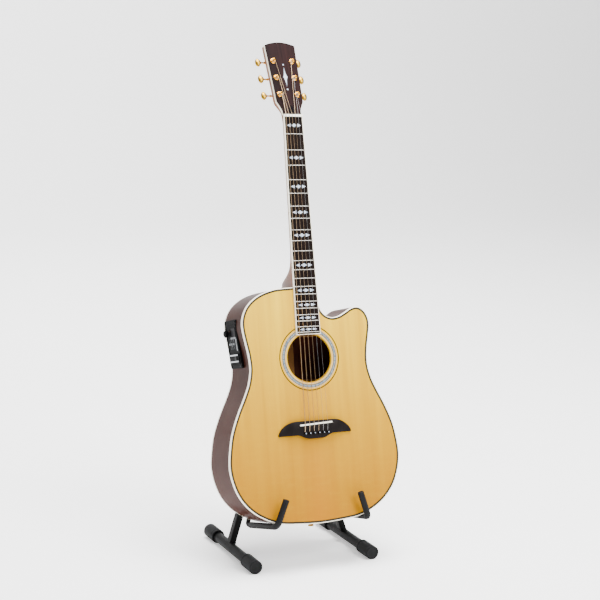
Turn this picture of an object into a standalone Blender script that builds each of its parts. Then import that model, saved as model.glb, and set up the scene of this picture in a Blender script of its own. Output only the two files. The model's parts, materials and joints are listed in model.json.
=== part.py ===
"""Acoustic-electric cutaway guitar standing on a folding A-frame floor stand.

Metres, +Z up, the guitar's face towards -Y and its treble side towards +X.
The origin lies on the floor, under the centre of the whole object's box.
Every object is one separate physical piece; empties carry the joints' axes.
"""
from math import atan2, cos, pi, radians, sin, tan

import bmesh
import bpy
from mathutils import Matrix, Vector

GAP = 0.0003              # space left between pieces that touch
FRONT_SHIFT = 0.1361      # brings the middle of the whole object's depth to y = 0

# Stand
FOOT_X = 0.1375           # half the distance between the two foot tubes
FOOT_RADIUS = 0.011
FOOT_FRONT_Y = 0.0075
FOOT_REAR_Y = 0.258
CAP_RADIUS = 0.015
CAP_LENGTH = 0.050
CAP_END = 0.003
CAP_DROP = 0.0004         # how far the round cap is cut to make its floor flat
FOOT_Z = CAP_RADIUS - CAP_DROP
TUBE_WALL = 0.0015
PIVOT_X = 0.020
PIVOT_Y = 0.1876
PIVOT_Z = 0.365
STAND_TILT = radians(7)
SPLAY = atan2(FOOT_X - PIVOT_X, (PIVOT_Z - FOOT_Z) / cos(STAND_TILT))
UPRIGHT_WIDTH = 0.014
UPRIGHT_DEPTH = 0.020
UPRIGHT_TOP = 0.012       # above the pivot
STOP_HALF_WIDTH = PIVOT_X - UPRIGHT_WIDTH / 2 * cos(SPLAY) - UPRIGHT_TOP * sin(SPLAY) - GAP
BOLT_RADIUS = 0.003
BOLT_HOLE = 0.0034
BOLT_HEAD = 0.0055
BRACKET_HALF_WIDTH = 0.038
BRACKET_INSIDE = 0.0104   # half the space between the bracket's two plates
BRACKET_PLATE = 0.003
BRACKET_LOW = -0.014
BRACKET_WEB = 0.019
BRACKET_HIGH = 0.040
PAD_HALF_WIDTH = 0.034
PAD_LOW = 0.009
PAD_HIGH = 0.038
ARM_ROD_RADIUS = 0.005
ARM_SLEEVE_RADIUS = 0.00675
ARM_DROP = 0.2856         # where the arm leaves its upright, below the pivot
ARM_REACH = 0.052
ARM_LOW = 0.3135
ARM_BEND = 0.012

# Guitar, in its own frame: x across, y up from the tail, z out of the face
LEAN = radians(15)
TAIL_Y = -0.0146
TAIL_Z = 0.1035
BODY_TOP = 0.498
BODY_DEPTH = 0.110
BACK_RISE = 0.0265        # the body gets shallower by this much for each unit of height
PLATE = 0.003
SIDE = 0.0025
LINING_WIDTH = 0.006
LINING_HEIGHT = 0.008
HOLE_Y = 0.348
HOLE_RADIUS = 0.050
SCALE = 0.650
NUT_Y = 0.859
NUT_THICK = 0.005
NUT_TOP = 0.008
BOARD_LOW_Y = 0.397
BOARD_TOP = 0.0063
NUT_HALF = 0.0215
BOARD_FLARE = 0.01407     # growth of the board's half width along its length
BRIDGE_TOP = 0.0088
SADDLE_Y = NUT_Y - SCALE
SADDLE_SLANT = radians(2.3)
SADDLE_TOP = 0.012
SADDLE_LENGTH = 0.074
SADDLE_THICK = 0.003
PIN_ROW_Y = 0.193
END_PIN_Z = -0.052
END_PIN_HOLE = 0.005
END_PIN_LENGTH = 0.009
END_PIN_SHANK = 0.020

# Headstock, in a frame that starts behind the nut
HEAD_ANGLE = radians(14)
HEAD_Y = NUT_Y + NUT_THICK + 0.0006
HEAD_THICK = 0.014
HEAD_LOW = 0.030
HEAD_CORNER = 0.162
HEAD_END = 0.1695
HEAD_LOW_HALF = 0.0312
HEAD_HIGH_HALF = 0.0353
HEADPLATE_TOP = 0.0021
POST_UP = (0.046, 0.085, 0.124)
POST_OUT = (0.0205, 0.0212, 0.0220)
POST_RADIUS = 0.003
POST_HOLE = 0.0042
POST_TOP = 0.010
GEAR_RADIUS = 0.0042
SHAFT_RADIUS = 0.002
SHAFT_UP = 0.0065         # the knob's shaft lies this far beside its post
SHAFT_Z = -0.0205
KNOB_OUT = 0.0470
BUTTON_HALF = (0.0042, 0.0094, 0.0068)
COLLAR_RADIUS = 0.0028
COLLAR_LOW, COLLAR_HIGH = 0.0302, 0.0330
COVER_INNER, COVER_OUTER = 0.0125, 0.0295
COVER_BELOW, COVER_ABOVE = 0.0065, 0.0105
COVER_WALL = 0.0012

# Strings, bass to treble
STRING_RADII = (0.00066, 0.00053, 0.00042, 0.00034, 0.00022, 0.00018)
NUT_SPACING = 0.0072
SADDLE_SPACING = 0.0106

# Preamp, in a frame on the bass rim: x up the body, y to the back, z outwards
PREAMP_LOW = (-0.1375, 0.336)
PREAMP_HIGH = (-0.1470, 0.438)
PREAMP_Z = -0.061
BEZEL_HALF = (0.051, 0.031)
BEZEL_TOP = 0.0045
CASE_HALF = (0.046, 0.025)
CASE_DEPTH = 0.038
BATTERY_X = -0.031
BATTERY_HALF = (0.0105, 0.0235)
BATTERY_DEPTH = 0.034
VOLUME_AT = (0.024, 0.019)
VOLUME_RADIUS = 0.0075
SLIDER_X = 0.001
SLIDER_ROWS = (-0.012, -0.002, 0.008)
SLIDER_TRAVEL = 0.009

# Half of the body's outline from the tail to the waist, then its two shoulders
LOWER_BOUT = [(0.0, 0.0), (0.048, 0.0022), (0.090, 0.0065), (0.122, 0.0175), (0.153, 0.037),
              (0.177, 0.064), (0.191, 0.095), (0.1975, 0.130), (0.1945, 0.165), (0.187, 0.200),
              (0.172, 0.238), (0.155, 0.272), (0.143, 0.300), (0.1368, 0.330)]
BASS_SHOULDER = [(0.1385, 0.360), (0.1450, 0.395), (0.1485, 0.420), (0.146, 0.440),
                 (0.136, 0.460), (0.120, 0.4755), (0.098, 0.4875), (0.068, 0.4955), (0.030, BODY_TOP)]
TREBLE_SHOULDER = [(0.1385, 0.360), (0.1440, 0.389), (0.1474, 0.409), (0.1465, 0.424),
                   (0.1405, 0.438), (0.131, 0.4475), (0.119, 0.4515), (0.105, 0.4485),
                   (0.091, 0.4405), (0.076, 0.4335), (0.0605, 0.431), (0.047, 0.435),
                   (0.0375, 0.4435), (0.0315, 0.455), (0.0285, 0.474), (0.028, BODY_TOP)]


# ---------------------------------------------------------------- scene and frames

def clear_scene():
    for old in list(bpy.data.objects):
        bpy.data.objects.remove(old, do_unlink=True)


def collection(name):
    made = bpy.data.collections.new(name)
    bpy.context.scene.collection.children.link(made)
    return made


clear_scene()
PARTS = collection("guitar_on_stand")
CUTTERS = collection("cutters")


def frame(name, matrix, parent=None):
    """An empty; matrix is its place in its parent's frame."""
    empty = bpy.data.objects.new(name, None)
    empty.empty_display_size = 0.02
    PARTS.objects.link(empty)
    empty.parent = parent
    empty.matrix_local = matrix
    return empty


def turn(angle, axis):
    return Matrix.Rotation(angle, 4, axis)


def place(x, y, z):
    return Matrix.Translation((x, y, z))


def axes(x_axis, y_axis, z_axis, at=(0, 0, 0)):
    made = Matrix((x_axis, y_axis, z_axis)).transposed().to_4x4()
    return place(*at) @ made


HEAD_MATRIX = place(0, PIVOT_Y, PIVOT_Z) @ turn(-STAND_TILT, "X")
GUITAR_MATRIX = place(0, TAIL_Y, TAIL_Z) @ turn(pi / 2 - LEAN, "X")
ORIGIN = frame("origin_frame", place(0, -FRONT_SHIFT, 0))
STAND_HEAD = frame("stand_head_frame", HEAD_MATRIX, ORIGIN)
GUITAR = frame("guitar_frame", GUITAR_MATRIX, ORIGIN)
HEADSTOCK = frame("headstock_frame", place(0, HEAD_Y, 0) @ turn(-HEAD_ANGLE, "X"), GUITAR)
LEG_MATRIX = {side: place(side * PIVOT_X, 0, 0) @ turn(-side * SPLAY, "Y") for side in (-1, 1)}
LEG = {side: frame(name + "_leg_frame", LEG_MATRIX[side], STAND_HEAD)
       for side, name in ((-1, "left"), (1, "right"))}


def preamp_matrix():
    low = Vector((*PREAMP_LOW, 0))
    high = Vector((*PREAMP_HIGH, 0))
    along = (high - low).normalized()
    back = Vector((0, 0, -1))
    middle = (low + high) / 2
    return axes(along, back, along.cross(back), (middle.x, middle.y, PREAMP_Z))


PREAMP = frame("preamp_frame", preamp_matrix(), GUITAR)


# ---------------------------------------------------------------- materials

def material(name, color, roughness, metallic=0.0):
    made = bpy.data.materials.new(name)
    made.use_nodes = True
    shader = made.node_tree.nodes["Principled BSDF"]
    shader.inputs["Base Color"].default_value = (*color, 1)
    shader.inputs["Roughness"].default_value = roughness
    shader.inputs["Metallic"].default_value = metallic
    return made


SPRUCE = material("spruce", (0.70, 0.45, 0.17), 0.25)
RAW_SPRUCE = material("raw_spruce", (0.75, 0.58, 0.36), 0.6)
MAHOGANY = material("mahogany", (0.22, 0.09, 0.06), 0.2)
NECK_WOOD = material("neck_wood", (0.36, 0.17, 0.09), 0.3)
EBONY = material("ebony", (0.02, 0.015, 0.012), 0.35)
ROSEWOOD = material("rosewood", (0.07, 0.03, 0.03), 0.25)
BONE = material("bone", (0.80, 0.74, 0.60), 0.35)
GOLD = material("gold", (0.83, 0.60, 0.25), 0.25, 1.0)
STEEL = material("steel", (0.55, 0.55, 0.55), 0.3, 1.0)
BRONZE = material("bronze", (0.60, 0.42, 0.25), 0.35, 1.0)
BLACK_PAINT = material("black_paint", (0.012, 0.012, 0.013), 0.4)
RUBBER = material("rubber", (0.025, 0.025, 0.027), 0.75)
PLASTIC = material("plastic", (0.02, 0.02, 0.022), 0.35)


# ---------------------------------------------------------------- modelling helpers

def add(name, data, parent, matrix, skin):
    piece = bpy.data.objects.new(name, data)
    (CUTTERS if skin is None else PARTS).objects.link(piece)
    piece.parent = parent
    piece.matrix_local = matrix
    if skin is None:
        piece.hide_render = True
        piece.display_type = "WIRE"
    else:
        data.materials.append(skin)
    return piece


def finish(name, bm, parent, matrix, skin, smooth=True):
    mesh = bpy.data.meshes.new(name)
    bm.to_mesh(mesh)
    bm.free()
    if smooth:
        mesh.shade_smooth()
        mesh.set_sharp_from_angle(angle=radians(35))
    return add(name, mesh, parent, matrix, skin)


def box(name, low, high, parent, skin=None, matrix=Matrix()):
    bm = bmesh.new()
    middle = (Vector(low) + Vector(high)) / 2
    size = Vector(high) - Vector(low)
    bmesh.ops.create_cube(bm, size=1, matrix=place(*middle) @ Matrix.Diagonal((*size, 1)))
    return finish(name, bm, parent, matrix, skin, smooth=False)


def rod(name, radius, low, high, parent, skin=None, matrix=Matrix(), sides=16, ends=True):
    """A cylinder along its local z from low to high."""
    bm = bmesh.new()
    bmesh.ops.create_cone(bm, cap_ends=ends, segments=sides, radius1=radius, radius2=radius,
                          depth=high - low, matrix=place(0, 0, (low + high) / 2))
    return finish(name, bm, parent, matrix, skin)


def turned(name, profile, parent, skin, matrix=Matrix(), steps=16):
    """A profile of (radius, height) points, top to bottom down its outer side, turned about z."""
    bm = bmesh.new()
    points = [bm.verts.new((radius, 0, height)) for radius, height in profile]
    for above, below in zip(points, points[1:]):
        bm.edges.new((above, below))
    piece = finish(name, bm, parent, matrix, skin, smooth=False)
    screw = piece.modifiers.new("turn", "SCREW")
    screw.steps = steps
    screw.render_steps = steps
    screw.use_merge_vertices = True
    screw.merge_threshold = 0.00001
    screw.use_smooth_shade = False
    return piece


def to_mesh(curve_object):
    """Swap a curve object for a welded mesh object of the same name and place."""
    name, parent, matrix = curve_object.name, curve_object.parent, curve_object.matrix_basis.copy()
    skin = curve_object.data.materials[0] if curve_object.data.materials else None
    bpy.context.view_layer.update()
    seen = curve_object.evaluated_get(bpy.context.evaluated_depsgraph_get())
    mesh = bpy.data.meshes.new_from_object(seen)
    bm = bmesh.new()
    bm.from_mesh(mesh)
    bmesh.ops.remove_doubles(bm, verts=bm.verts, dist=0.00001)
    bm.to_mesh(mesh)
    bm.free()
    bpy.data.objects.remove(curve_object, do_unlink=True)
    mesh.materials.clear()
    return add(name, mesh, parent, matrix, skin)


def prism(name, outline, low, high, parent, skin=None, matrix=Matrix()):
    """A flat outline in the local xy plane, drawn out from z = low to high."""
    bm = bmesh.new()
    bottom = bm.faces.new([bm.verts.new((x, y, low)) for x, y in outline])
    sides = bmesh.ops.extrude_face_region(bm, geom=[bottom], use_keep_orig=True)
    raised = [item for item in sides["geom"] if isinstance(item, bmesh.types.BMVert)]
    bmesh.ops.translate(bm, verts=raised, vec=(0, 0, high - low))
    bmesh.ops.recalc_face_normals(bm, faces=bm.faces)
    return finish(name, bm, parent, matrix, skin)


def wire(name, points, radius, parent, skin, level=2):
    """A round wire along points; level 2 gives eight sides and level 4 twelve."""
    curve = bpy.data.curves.new(name, "CURVE")
    curve.dimensions = "3D"
    curve.bevel_depth = radius
    curve.bevel_resolution = level
    curve.use_fill_caps = True
    spline = curve.splines.new("POLY")
    spline.points.add(len(points) - 1)
    for point, at in zip(spline.points, points):
        point.co = (*at, 1)
    return add(name, curve, parent, Matrix(), skin)


def boolean(piece, other, operation):
    cut = piece.modifiers.new(operation.lower() + "_" + other.name, "BOOLEAN")
    cut.operation = operation
    cut.object = other


def cut(piece, *others):
    for other in others:
        boolean(piece, other, "DIFFERENCE")


def join(piece, *others):
    for other in others:
        boolean(piece, other, "UNION")


def thicken(piece, thickness):
    """Give an open surface a wall on its inner side."""
    solid = piece.modifiers.new("wall", "SOLIDIFY")
    solid.thickness = thickness
    solid.offset = -1
    solid.use_even_offset = True


def smooth_line(points, steps):
    """A Catmull-Rom line through points, with steps spans between each two."""
    controls = [Vector(point) for point in points]
    controls = [2 * controls[0] - controls[1], *controls, 2 * controls[-1] - controls[-2]]
    line = []
    for a, b, c, d in zip(controls, controls[1:], controls[2:], controls[3:]):
        for step in range(steps):
            t = step / steps
            line.append((2 * b + (c - a) * t + (2 * a - 5 * b + 4 * c - d) * t * t
                         + (3 * b - a - 3 * c + d) * t ** 3) / 2)
    line.append(controls[-2])
    return line


def inset(outline, distance):
    """Move a closed anticlockwise outline inwards by an even distance."""
    moved = []
    for before, point, after in zip(outline[-1:] + outline[:-1], outline, outline[1:] + outline[:1]):
        first = (point - before).normalized()
        second = (after - point).normalized()
        normal = Vector((-first.y - second.y, first.x + second.x)).normalized()
        lean = normal.dot(Vector((-second.y, second.x)))
        moved.append(point + normal * distance / max(lean, 0.5))
    return moved


def rounded_route(corners, bend, steps=3):
    """Straight runs between corners, each corner eased by a short curve."""
    points = [Vector(corners[0])]
    for before, corner, after in zip(corners, corners[1:], corners[2:]):
        start = corner + (before - corner).normalized() * bend
        end = corner + (after - corner).normalized() * bend
        for step in range(steps + 1):
            t = step / steps
            points.append(start * (1 - t) ** 2 + corner * 2 * t * (1 - t) + end * t * t)
    points.append(Vector(corners[-1]))
    return points


def loft(name, rings, parent, skin):
    """A closed skin over rings of equal length, flat at both ends."""
    bm = bmesh.new()
    rows = [[bm.verts.new(point) for point in ring] for ring in rings]
    count = len(rings[0])
    for low, high in zip(rows, rows[1:]):
        for i in range(count):
            j = (i + 1) % count
            bm.faces.new((low[i], low[j], high[j], high[i]))
    bm.faces.new(rows[0])
    bm.faces.new(rows[-1])
    bmesh.ops.recalc_face_normals(bm, faces=bm.faces)
    return finish(name, bm, parent, Matrix(), skin)


# ---------------------------------------------------------------- stand

def foot(side, name):
    """Foot tube with a rubber cup at each end; the cups have small flats on the floor."""
    along_y = place(side * FOOT_X, 0, FOOT_Z) @ turn(-pi / 2, "X")
    front = FOOT_FRONT_Y + GAP
    rear = FOOT_REAR_Y - GAP
    tube = rod(name + "_foot_tube", FOOT_RADIUS, front, rear, ORIGIN, BLACK_PAINT, along_y,
               sides=20, ends=False)
    thicken(tube, TUBE_WALL)
    bore = FOOT_RADIUS + GAP
    cup = [(0, CAP_LENGTH), (CAP_RADIUS - 0.003, CAP_LENGTH), (CAP_RADIUS, CAP_LENGTH - 0.003),
           (CAP_RADIUS, 0), (bore, 0), (bore, CAP_LENGTH - CAP_END), (0, CAP_LENGTH - CAP_END)]
    inner = CAP_LENGTH - CAP_END
    ends = {"front": place(side * FOOT_X, FOOT_FRONT_Y + inner, FOOT_Z) @ turn(pi / 2, "X"),
            "rear": place(side * FOOT_X, FOOT_REAR_Y - inner, FOOT_Z) @ turn(-pi / 2, "X")}
    for end, matrix in ends.items():
        cap = turned(f"{name}_{end}_cap", cup, ORIGIN, RUBBER, matrix, steps=20)
        cut(cap, FLOOR_CUTTER)


def upright(side, name):
    """Rectangular tube from the pivot down to the foot tube, coped to sit on it."""
    half_x, half_y = UPRIGHT_WIDTH / 2, UPRIGHT_DEPTH / 2
    low = -(PIVOT_Z - FOOT_Z) / cos(STAND_TILT) / cos(SPLAY)
    leg = box(name + "_upright", (-half_x, -half_y, low), (half_x, half_y, UPRIGHT_TOP),
              LEG[side], BLACK_PAINT)
    inner = box(name + "_upright_bore", (TUBE_WALL - half_x, TUBE_WALL - half_y, low - 0.01),
                (half_x - TUBE_WALL, half_y - TUBE_WALL, UPRIGHT_TOP + 0.01), LEG[side])
    cope = rod(name + "_cope", FOOT_RADIUS + GAP, 0, 0.3, ORIGIN, None,
               place(side * FOOT_X, 0, FOOT_Z) @ turn(-pi / 2, "X"), sides=32)
    hole = rod(name + "_pivot_hole", BOLT_HOLE, -0.02, 0.02, LEG[side], None, turn(pi / 2, "X"))
    cut(leg, inner, cope, hole)


def pivot_bolt(side, name):
    """Bolt and lock nut through the bracket's plates and the upright."""
    seat = BRACKET_INSIDE + BRACKET_PLATE + GAP
    end = seat + 0.0035
    profile = [(0, end), (BOLT_HEAD - 0.001, end), (BOLT_HEAD, end - 0.001), (BOLT_HEAD, seat),
               (BOLT_RADIUS, seat), (BOLT_RADIUS, -seat), (BOLT_HEAD, -seat), (BOLT_HEAD, -end),
               (0, -end)]
    turned(name + "_pivot_bolt", profile, STAND_HEAD, STEEL,
           place(side * PIVOT_X, 0, 0) @ turn(pi / 2, "X"))


def arm(side, name):
    """Bent steel rod under the guitar with its tip turned up, in a rubber sleeve."""
    into_leg = (HEAD_MATRIX @ LEG_MATRIX[side]).inverted() @ GUITAR_MATRIX
    start = Vector((0, -UPRIGHT_DEPTH / 2 - GAP, -ARM_DROP))
    corners = [start, Vector((0, -ARM_REACH, -ARM_DROP)), Vector((0, -ARM_REACH, -ARM_LOW)),
               into_leg @ Vector((side * 0.106, 0.0035, 0.012)),
               into_leg @ Vector((side * 0.086, 0.058, 0.023))]
    tip = corners[-1]
    back = (corners[-2] - tip).normalized()
    wire(name + "_arm_rod", rounded_route(corners[:-1] + [tip + back * 0.003], ARM_BEND),
         ARM_ROD_RADIUS, LEG[side], BLACK_PAINT, level=4)
    run = (corners[3] - corners[2]).normalized()
    covered = [corners[2] + run * (ARM_BEND + 0.004), *corners[3:]]
    route = rounded_route(covered, ARM_BEND)
    sleeve = to_mesh(wire(name + "_arm_sleeve", route, ARM_SLEEVE_RADIUS, LEG[side], RUBBER, level=4))
    bm = bmesh.new()
    bm.from_mesh(sleeve.data)
    reach = ARM_SLEEVE_RADIUS * 1.1
    mouth = [face for face in bm.faces
             if all((vertex.co - covered[0]).length < reach for vertex in face.verts)]
    bmesh.ops.delete(bm, geom=mouth, context="FACES_ONLY")
    bm.to_mesh(sleeve.data)
    bm.free()
    thicken(sleeve, ARM_SLEEVE_RADIUS - ARM_ROD_RADIUS - GAP)


def apex_bracket():
    """Two plates, a top web, and the middle block that stops the legs when open."""
    outside = BRACKET_INSIDE + BRACKET_PLATE
    half = BRACKET_HALF_WIDTH
    bracket = box("apex_bracket", (-half, -outside, BRACKET_LOW), (half, -BRACKET_INSIDE, BRACKET_HIGH),
                  STAND_HEAD, BLACK_PAINT)
    rear = box("bracket_rear", (-half, BRACKET_INSIDE, BRACKET_LOW),
               (half, outside, BRACKET_WEB + BRACKET_PLATE), STAND_HEAD)
    web = box("bracket_web", (-half, -BRACKET_INSIDE - 0.001, BRACKET_WEB),
              (half, BRACKET_INSIDE + 0.001, BRACKET_WEB + BRACKET_PLATE), STAND_HEAD)
    stop = box("bracket_stop", (-STOP_HALF_WIDTH, -BRACKET_INSIDE - 0.001, -0.002),
               (STOP_HALF_WIDTH, BRACKET_INSIDE + 0.001, 0.012), STAND_HEAD)
    join(bracket, rear, web, stop)
    for side in (-1, 1):
        cut(bracket, rod("bracket_hole", BOLT_HOLE, -0.03, 0.03, STAND_HEAD, None,
                         place(side * PIVOT_X, 0, 0) @ turn(pi / 2, "X")))


def rest_pad():
    """Rubber wedge between the bracket and the guitar's sloping back."""
    into_head = HEAD_MATRIX.inverted() @ GUITAR_MATRIX
    low = into_head @ Vector((0, 0, -BODY_DEPTH))
    high = into_head @ Vector((0, 1, BACK_RISE - BODY_DEPTH))
    slope = (high.y - low.y) / (high.z - low.z)
    rear = -BRACKET_INSIDE - BRACKET_PLATE - GAP

    def front(z):
        return low.y + (z - low.z) * slope + 1.1 * GAP

    profile = [(rear, PAD_LOW), (rear, PAD_HIGH), (front(PAD_HIGH), PAD_HIGH), (front(PAD_LOW), PAD_LOW)]
    prism("rest_pad", profile, -PAD_HALF_WIDTH, PAD_HALF_WIDTH, STAND_HEAD, RUBBER,
          axes((0, 1, 0), (0, 0, 1), (1, 0, 0)))


FLOOR_CUTTER = box("floor_cutter", (-0.3, -0.1, -0.1), (0.3, 0.4, 0), ORIGIN)
apex_bracket()
rest_pad()
for leg_side, leg_name in ((-1, "left"), (1, "right")):
    pivot_bolt(leg_side, leg_name)
    upright(leg_side, leg_name)
    foot(leg_side, leg_name)
    arm(leg_side, leg_name)


# ---------------------------------------------------------------- guitar body

def body_outline(steps=2):
    """The body's closed outline, anticlockwise from the bass side of the neck joint."""
    bass = [(-x, y) for x, y in reversed(LOWER_BOUT + BASS_SHOULDER)]
    treble = (LOWER_BOUT + TREBLE_SHOULDER)[1:]
    return smooth_line(bass + treble, steps)


OUTLINE = body_outline()


def back_z(y):
    """Height of the back plate's outer face."""
    return -BODY_DEPTH + BACK_RISE * y


def slope_back(piece):
    """Tilt a piece that was made level with the tail so that it follows the back."""
    for vertex in piece.data.vertices:
        vertex.co.z += BACK_RISE * vertex.co.y


def wall(name, outline, low, high, thickness, skin):
    """An upright ring wall; low and high are functions of the height up the body."""
    bm = bmesh.new()
    pairs = [(bm.verts.new((x, y, low(y))), bm.verts.new((x, y, high(y)))) for x, y in outline]
    for (a_low, a_high), (b_low, b_high) in zip(pairs, pairs[1:] + pairs[:1]):
        bm.faces.new((a_low, b_low, b_high, a_high))
    piece = finish(name, bm, GUITAR, Matrix(), skin)
    thicken(piece, thickness)
    return piece


def body_shell():
    top = prism("soundboard", OUTLINE, -PLATE, 0, GUITAR, SPRUCE)
    cut(top, rod("sound_hole", HOLE_RADIUS, -0.02, 0.02, GUITAR, None, place(0, HOLE_Y, 0), sides=32))
    slope_back(prism("back_plate", OUTLINE, -BODY_DEPTH, PLATE - BODY_DEPTH, GUITAR, MAHOGANY))
    sides = wall("sides", OUTLINE, lambda y: back_z(y) + PLATE + GAP, lambda y: -PLATE - GAP,
                 SIDE, MAHOGANY)
    case_hole = box("preamp_cut_out", (-CASE_HALF[0] - 0.0005, -CASE_HALF[1] - 0.0005, -0.02),
                    (CASE_HALF[0] + 0.0005, CASE_HALF[1] + 0.0005, 0.02), PREAMP)
    cut(sides, case_hole, END_PIN_CUTTER)


def linings_and_blocks():
    ring = inset(OUTLINE, SIDE + GAP)
    wall("top_lining", ring, lambda y: -PLATE - GAP - LINING_HEIGHT, lambda y: -PLATE - GAP,
         LINING_WIDTH, RAW_SPRUCE)
    wall("back_lining", ring, lambda y: back_z(y) + PLATE + GAP,
         lambda y: back_z(y) + PLATE + GAP + LINING_HEIGHT, LINING_WIDTH, RAW_SPRUCE)
    edge = SIDE + LINING_WIDTH + 2 * GAP
    inside_back = BODY_DEPTH - BACK_RISE * BODY_TOP - PLATE - 2 * GAP
    box("neck_block", (-0.050, 0.445, -inside_back), (0.017, BODY_TOP - edge - 0.0015, -PLATE - GAP),
        GUITAR, RAW_SPRUCE)
    tail = box("tail_block", (-0.040, edge + 0.0025, 0.004 - BODY_DEPTH),
               (0.040, edge + 0.020, -PLATE - GAP), GUITAR, RAW_SPRUCE)
    cut(tail, END_PIN_CUTTER)


def braces():
    """The crossed top brace, the plate under the bridge, and the ladder of back braces."""
    cross_y = 0.262
    top = -PLATE - GAP
    bars = []
    for hand in (-1, 1):
        matrix = place(0, cross_y, 0) @ turn(hand * radians(44.4), "Z")
        bars.append((matrix, (-0.004, -0.212, top - 0.010), (0.004, 0.148, top)))
    brace = box("x_brace", bars[0][1], bars[0][2], GUITAR, RAW_SPRUCE, bars[0][0])
    join(brace, box("x_brace_second", bars[1][1], bars[1][2], GUITAR, None, bars[1][0]))
    box("bridge_plate", (-0.040, 0.172, top - 0.003), (0.040, 0.211, top), GUITAR, RAW_SPRUCE)

    low = PLATE + GAP - BODY_DEPTH
    strip = box("back_brace", (-0.0075, 0.030, low + GAP), (0.0075, 0.440, low + 0.003), GUITAR, RAW_SPRUCE)
    slope_back(strip)
    for y, half in ((0.090, 0.176), (0.190, 0.174), (0.300, 0.131), (0.400, 0.131)):
        bar = box("back_bar", (-half, y - 0.004, low), (half, y + 0.004, low + 0.008), GUITAR)
        slope_back(bar)
        join(strip, bar)


def bridge_and_saddle():
    """Belly bridge glued to the top, with the slanted saddle standing in its slot."""
    wing = [(0.084, 0.187), (0.084, 0.197), (0.078, 0.203), (0.066, 0.208), (0.056, 0.213), (0.044, 0.216)]
    belly = [(0.0, 0.178), (0.020, 0.179), (0.031, 0.183), (0.042, 0.187)]
    right = belly + wing
    outline = right + [(-x, y) for x, y in reversed(right[1:])]
    bridge = prism("bridge", outline, GAP, BRIDGE_TOP, GUITAR, EBONY)
    slot_floor = BRIDGE_TOP - 0.004
    slanted = place(0, SADDLE_Y, 0) @ turn(SADDLE_SLANT, "Z")
    half, thick = SADDLE_LENGTH / 2, SADDLE_THICK / 2
    cut(bridge, box("saddle_slot", (-half - GAP, -thick - GAP, slot_floor),
                    (half + GAP, thick + GAP, 0.02), GUITAR, None, slanted))
    box("saddle", (-half, -thick, slot_floor + GAP), (half, thick, SADDLE_TOP), GUITAR, BONE, slanted)


def end_pin():
    """Strap button; its shank goes through the rim into the tail block."""
    shank = END_PIN_HOLE - GAP
    profile = [(0, END_PIN_LENGTH), (0.0047, END_PIN_LENGTH), (0.0064, 0.0078), (0.0064, 0.0062),
               (0.0044, 0.0046), (0.0044, 0.0036), (0.0078, 0.0022), (0.0078, 2 * GAP),
               (shank, 2 * GAP), (shank, -END_PIN_SHANK), (0, -END_PIN_SHANK)]
    turned("end_pin", profile, GUITAR, GOLD, place(0, 0, END_PIN_Z) @ turn(pi / 2, "X"))


END_PIN_CUTTER = rod("end_pin_hole", END_PIN_HOLE, -0.04, 0.04, GUITAR, None,
                     place(0, 0, END_PIN_Z) @ turn(pi / 2, "X"), sides=24)
body_shell()
linings_and_blocks()
braces()
bridge_and_saddle()
end_pin()


# ---------------------------------------------------------------- neck and headstock

def board_half(y):
    return NUT_HALF + (NUT_Y - y) * BOARD_FLARE


def section(matrix, half, depth, fullness, count=14):
    """A flat-topped ring, half an ellipse at fullness 1 and nearly a rectangle near 0."""
    ring = []
    for i in range(count + 1):
        angle = pi * i / count
        across = abs(cos(angle)) ** fullness * (1 if angle < pi / 2 else -1)
        ring.append(matrix @ Vector((half * across, 0, -depth * abs(sin(angle)) ** fullness)))
    return ring


def head_half(up):
    """Half width of the headstock at a height above the nut."""
    if up < HEAD_LOW:
        ease = (1 - cos(pi * max(up - 0.004, 0) / (HEAD_LOW - 0.004) / 1.35)) / 1.69
        return NUT_HALF + (HEAD_LOW_HALF - NUT_HALF) * ease
    if up < HEAD_CORNER:
        return HEAD_LOW_HALF + (HEAD_HIGH_HALF - HEAD_LOW_HALF) * (up - HEAD_LOW) / (HEAD_CORNER - HEAD_LOW)
    rise = HEAD_END - HEAD_CORNER
    return HEAD_HIGH_HALF * max((HEAD_END - up) / rise, 0.0) ** 0.5


def neck():
    """Heel, shaft and headstock in one piece, with the truss rod's channel and post holes."""
    heel = ((BODY_TOP + GAP, 0.088), (0.511, 0.086), (0.518, 0.072), (0.527, 0.053), (0.539, 0.036),
            (0.555, 0.025), (0.577, 0.0185), (0.620, 0.0175), (0.700, 0.0167), (0.800, 0.0156),
            (0.850, 0.0150))
    rings = []
    for y, depth in heel:
        fullness = 0.75 if depth > 0.03 else 0.95
        rings.append(section(place(0, y, 0), board_half(y), depth, fullness))
    in_guitar = place(0, HEAD_Y, 0) @ turn(-HEAD_ANGLE, "X")
    stations = ((0.0045, 0.0152, 0.7), (0.011, 0.0145, 0.4), (0.017, HEAD_THICK, 0.2),
                (0.024, HEAD_THICK, 0.1), (HEAD_LOW, HEAD_THICK, 0.05),
                (HEAD_CORNER, HEAD_THICK, 0.05), (0.1655, HEAD_THICK, 0.05),
                (0.1682, HEAD_THICK, 0.05), (0.1693, HEAD_THICK, 0.05))
    for up, depth, fullness in stations:
        rings.append(section(in_guitar @ place(0, up, 0), head_half(up), depth, fullness))
    piece = loft("neck", rings, GUITAR, NECK_WOOD)
    channel = box("truss_channel", (-0.003, 0.505, -0.009), (0.003, 0.850, 0.001), GUITAR)
    cut(piece, channel, post_holes("neck_post_holes"))
    rod("truss_rod", 0.0024, 0.508, 0.847, GUITAR, STEEL,
        place(0, 0, -0.005) @ turn(-pi / 2, "X"), sides=12)


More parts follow.
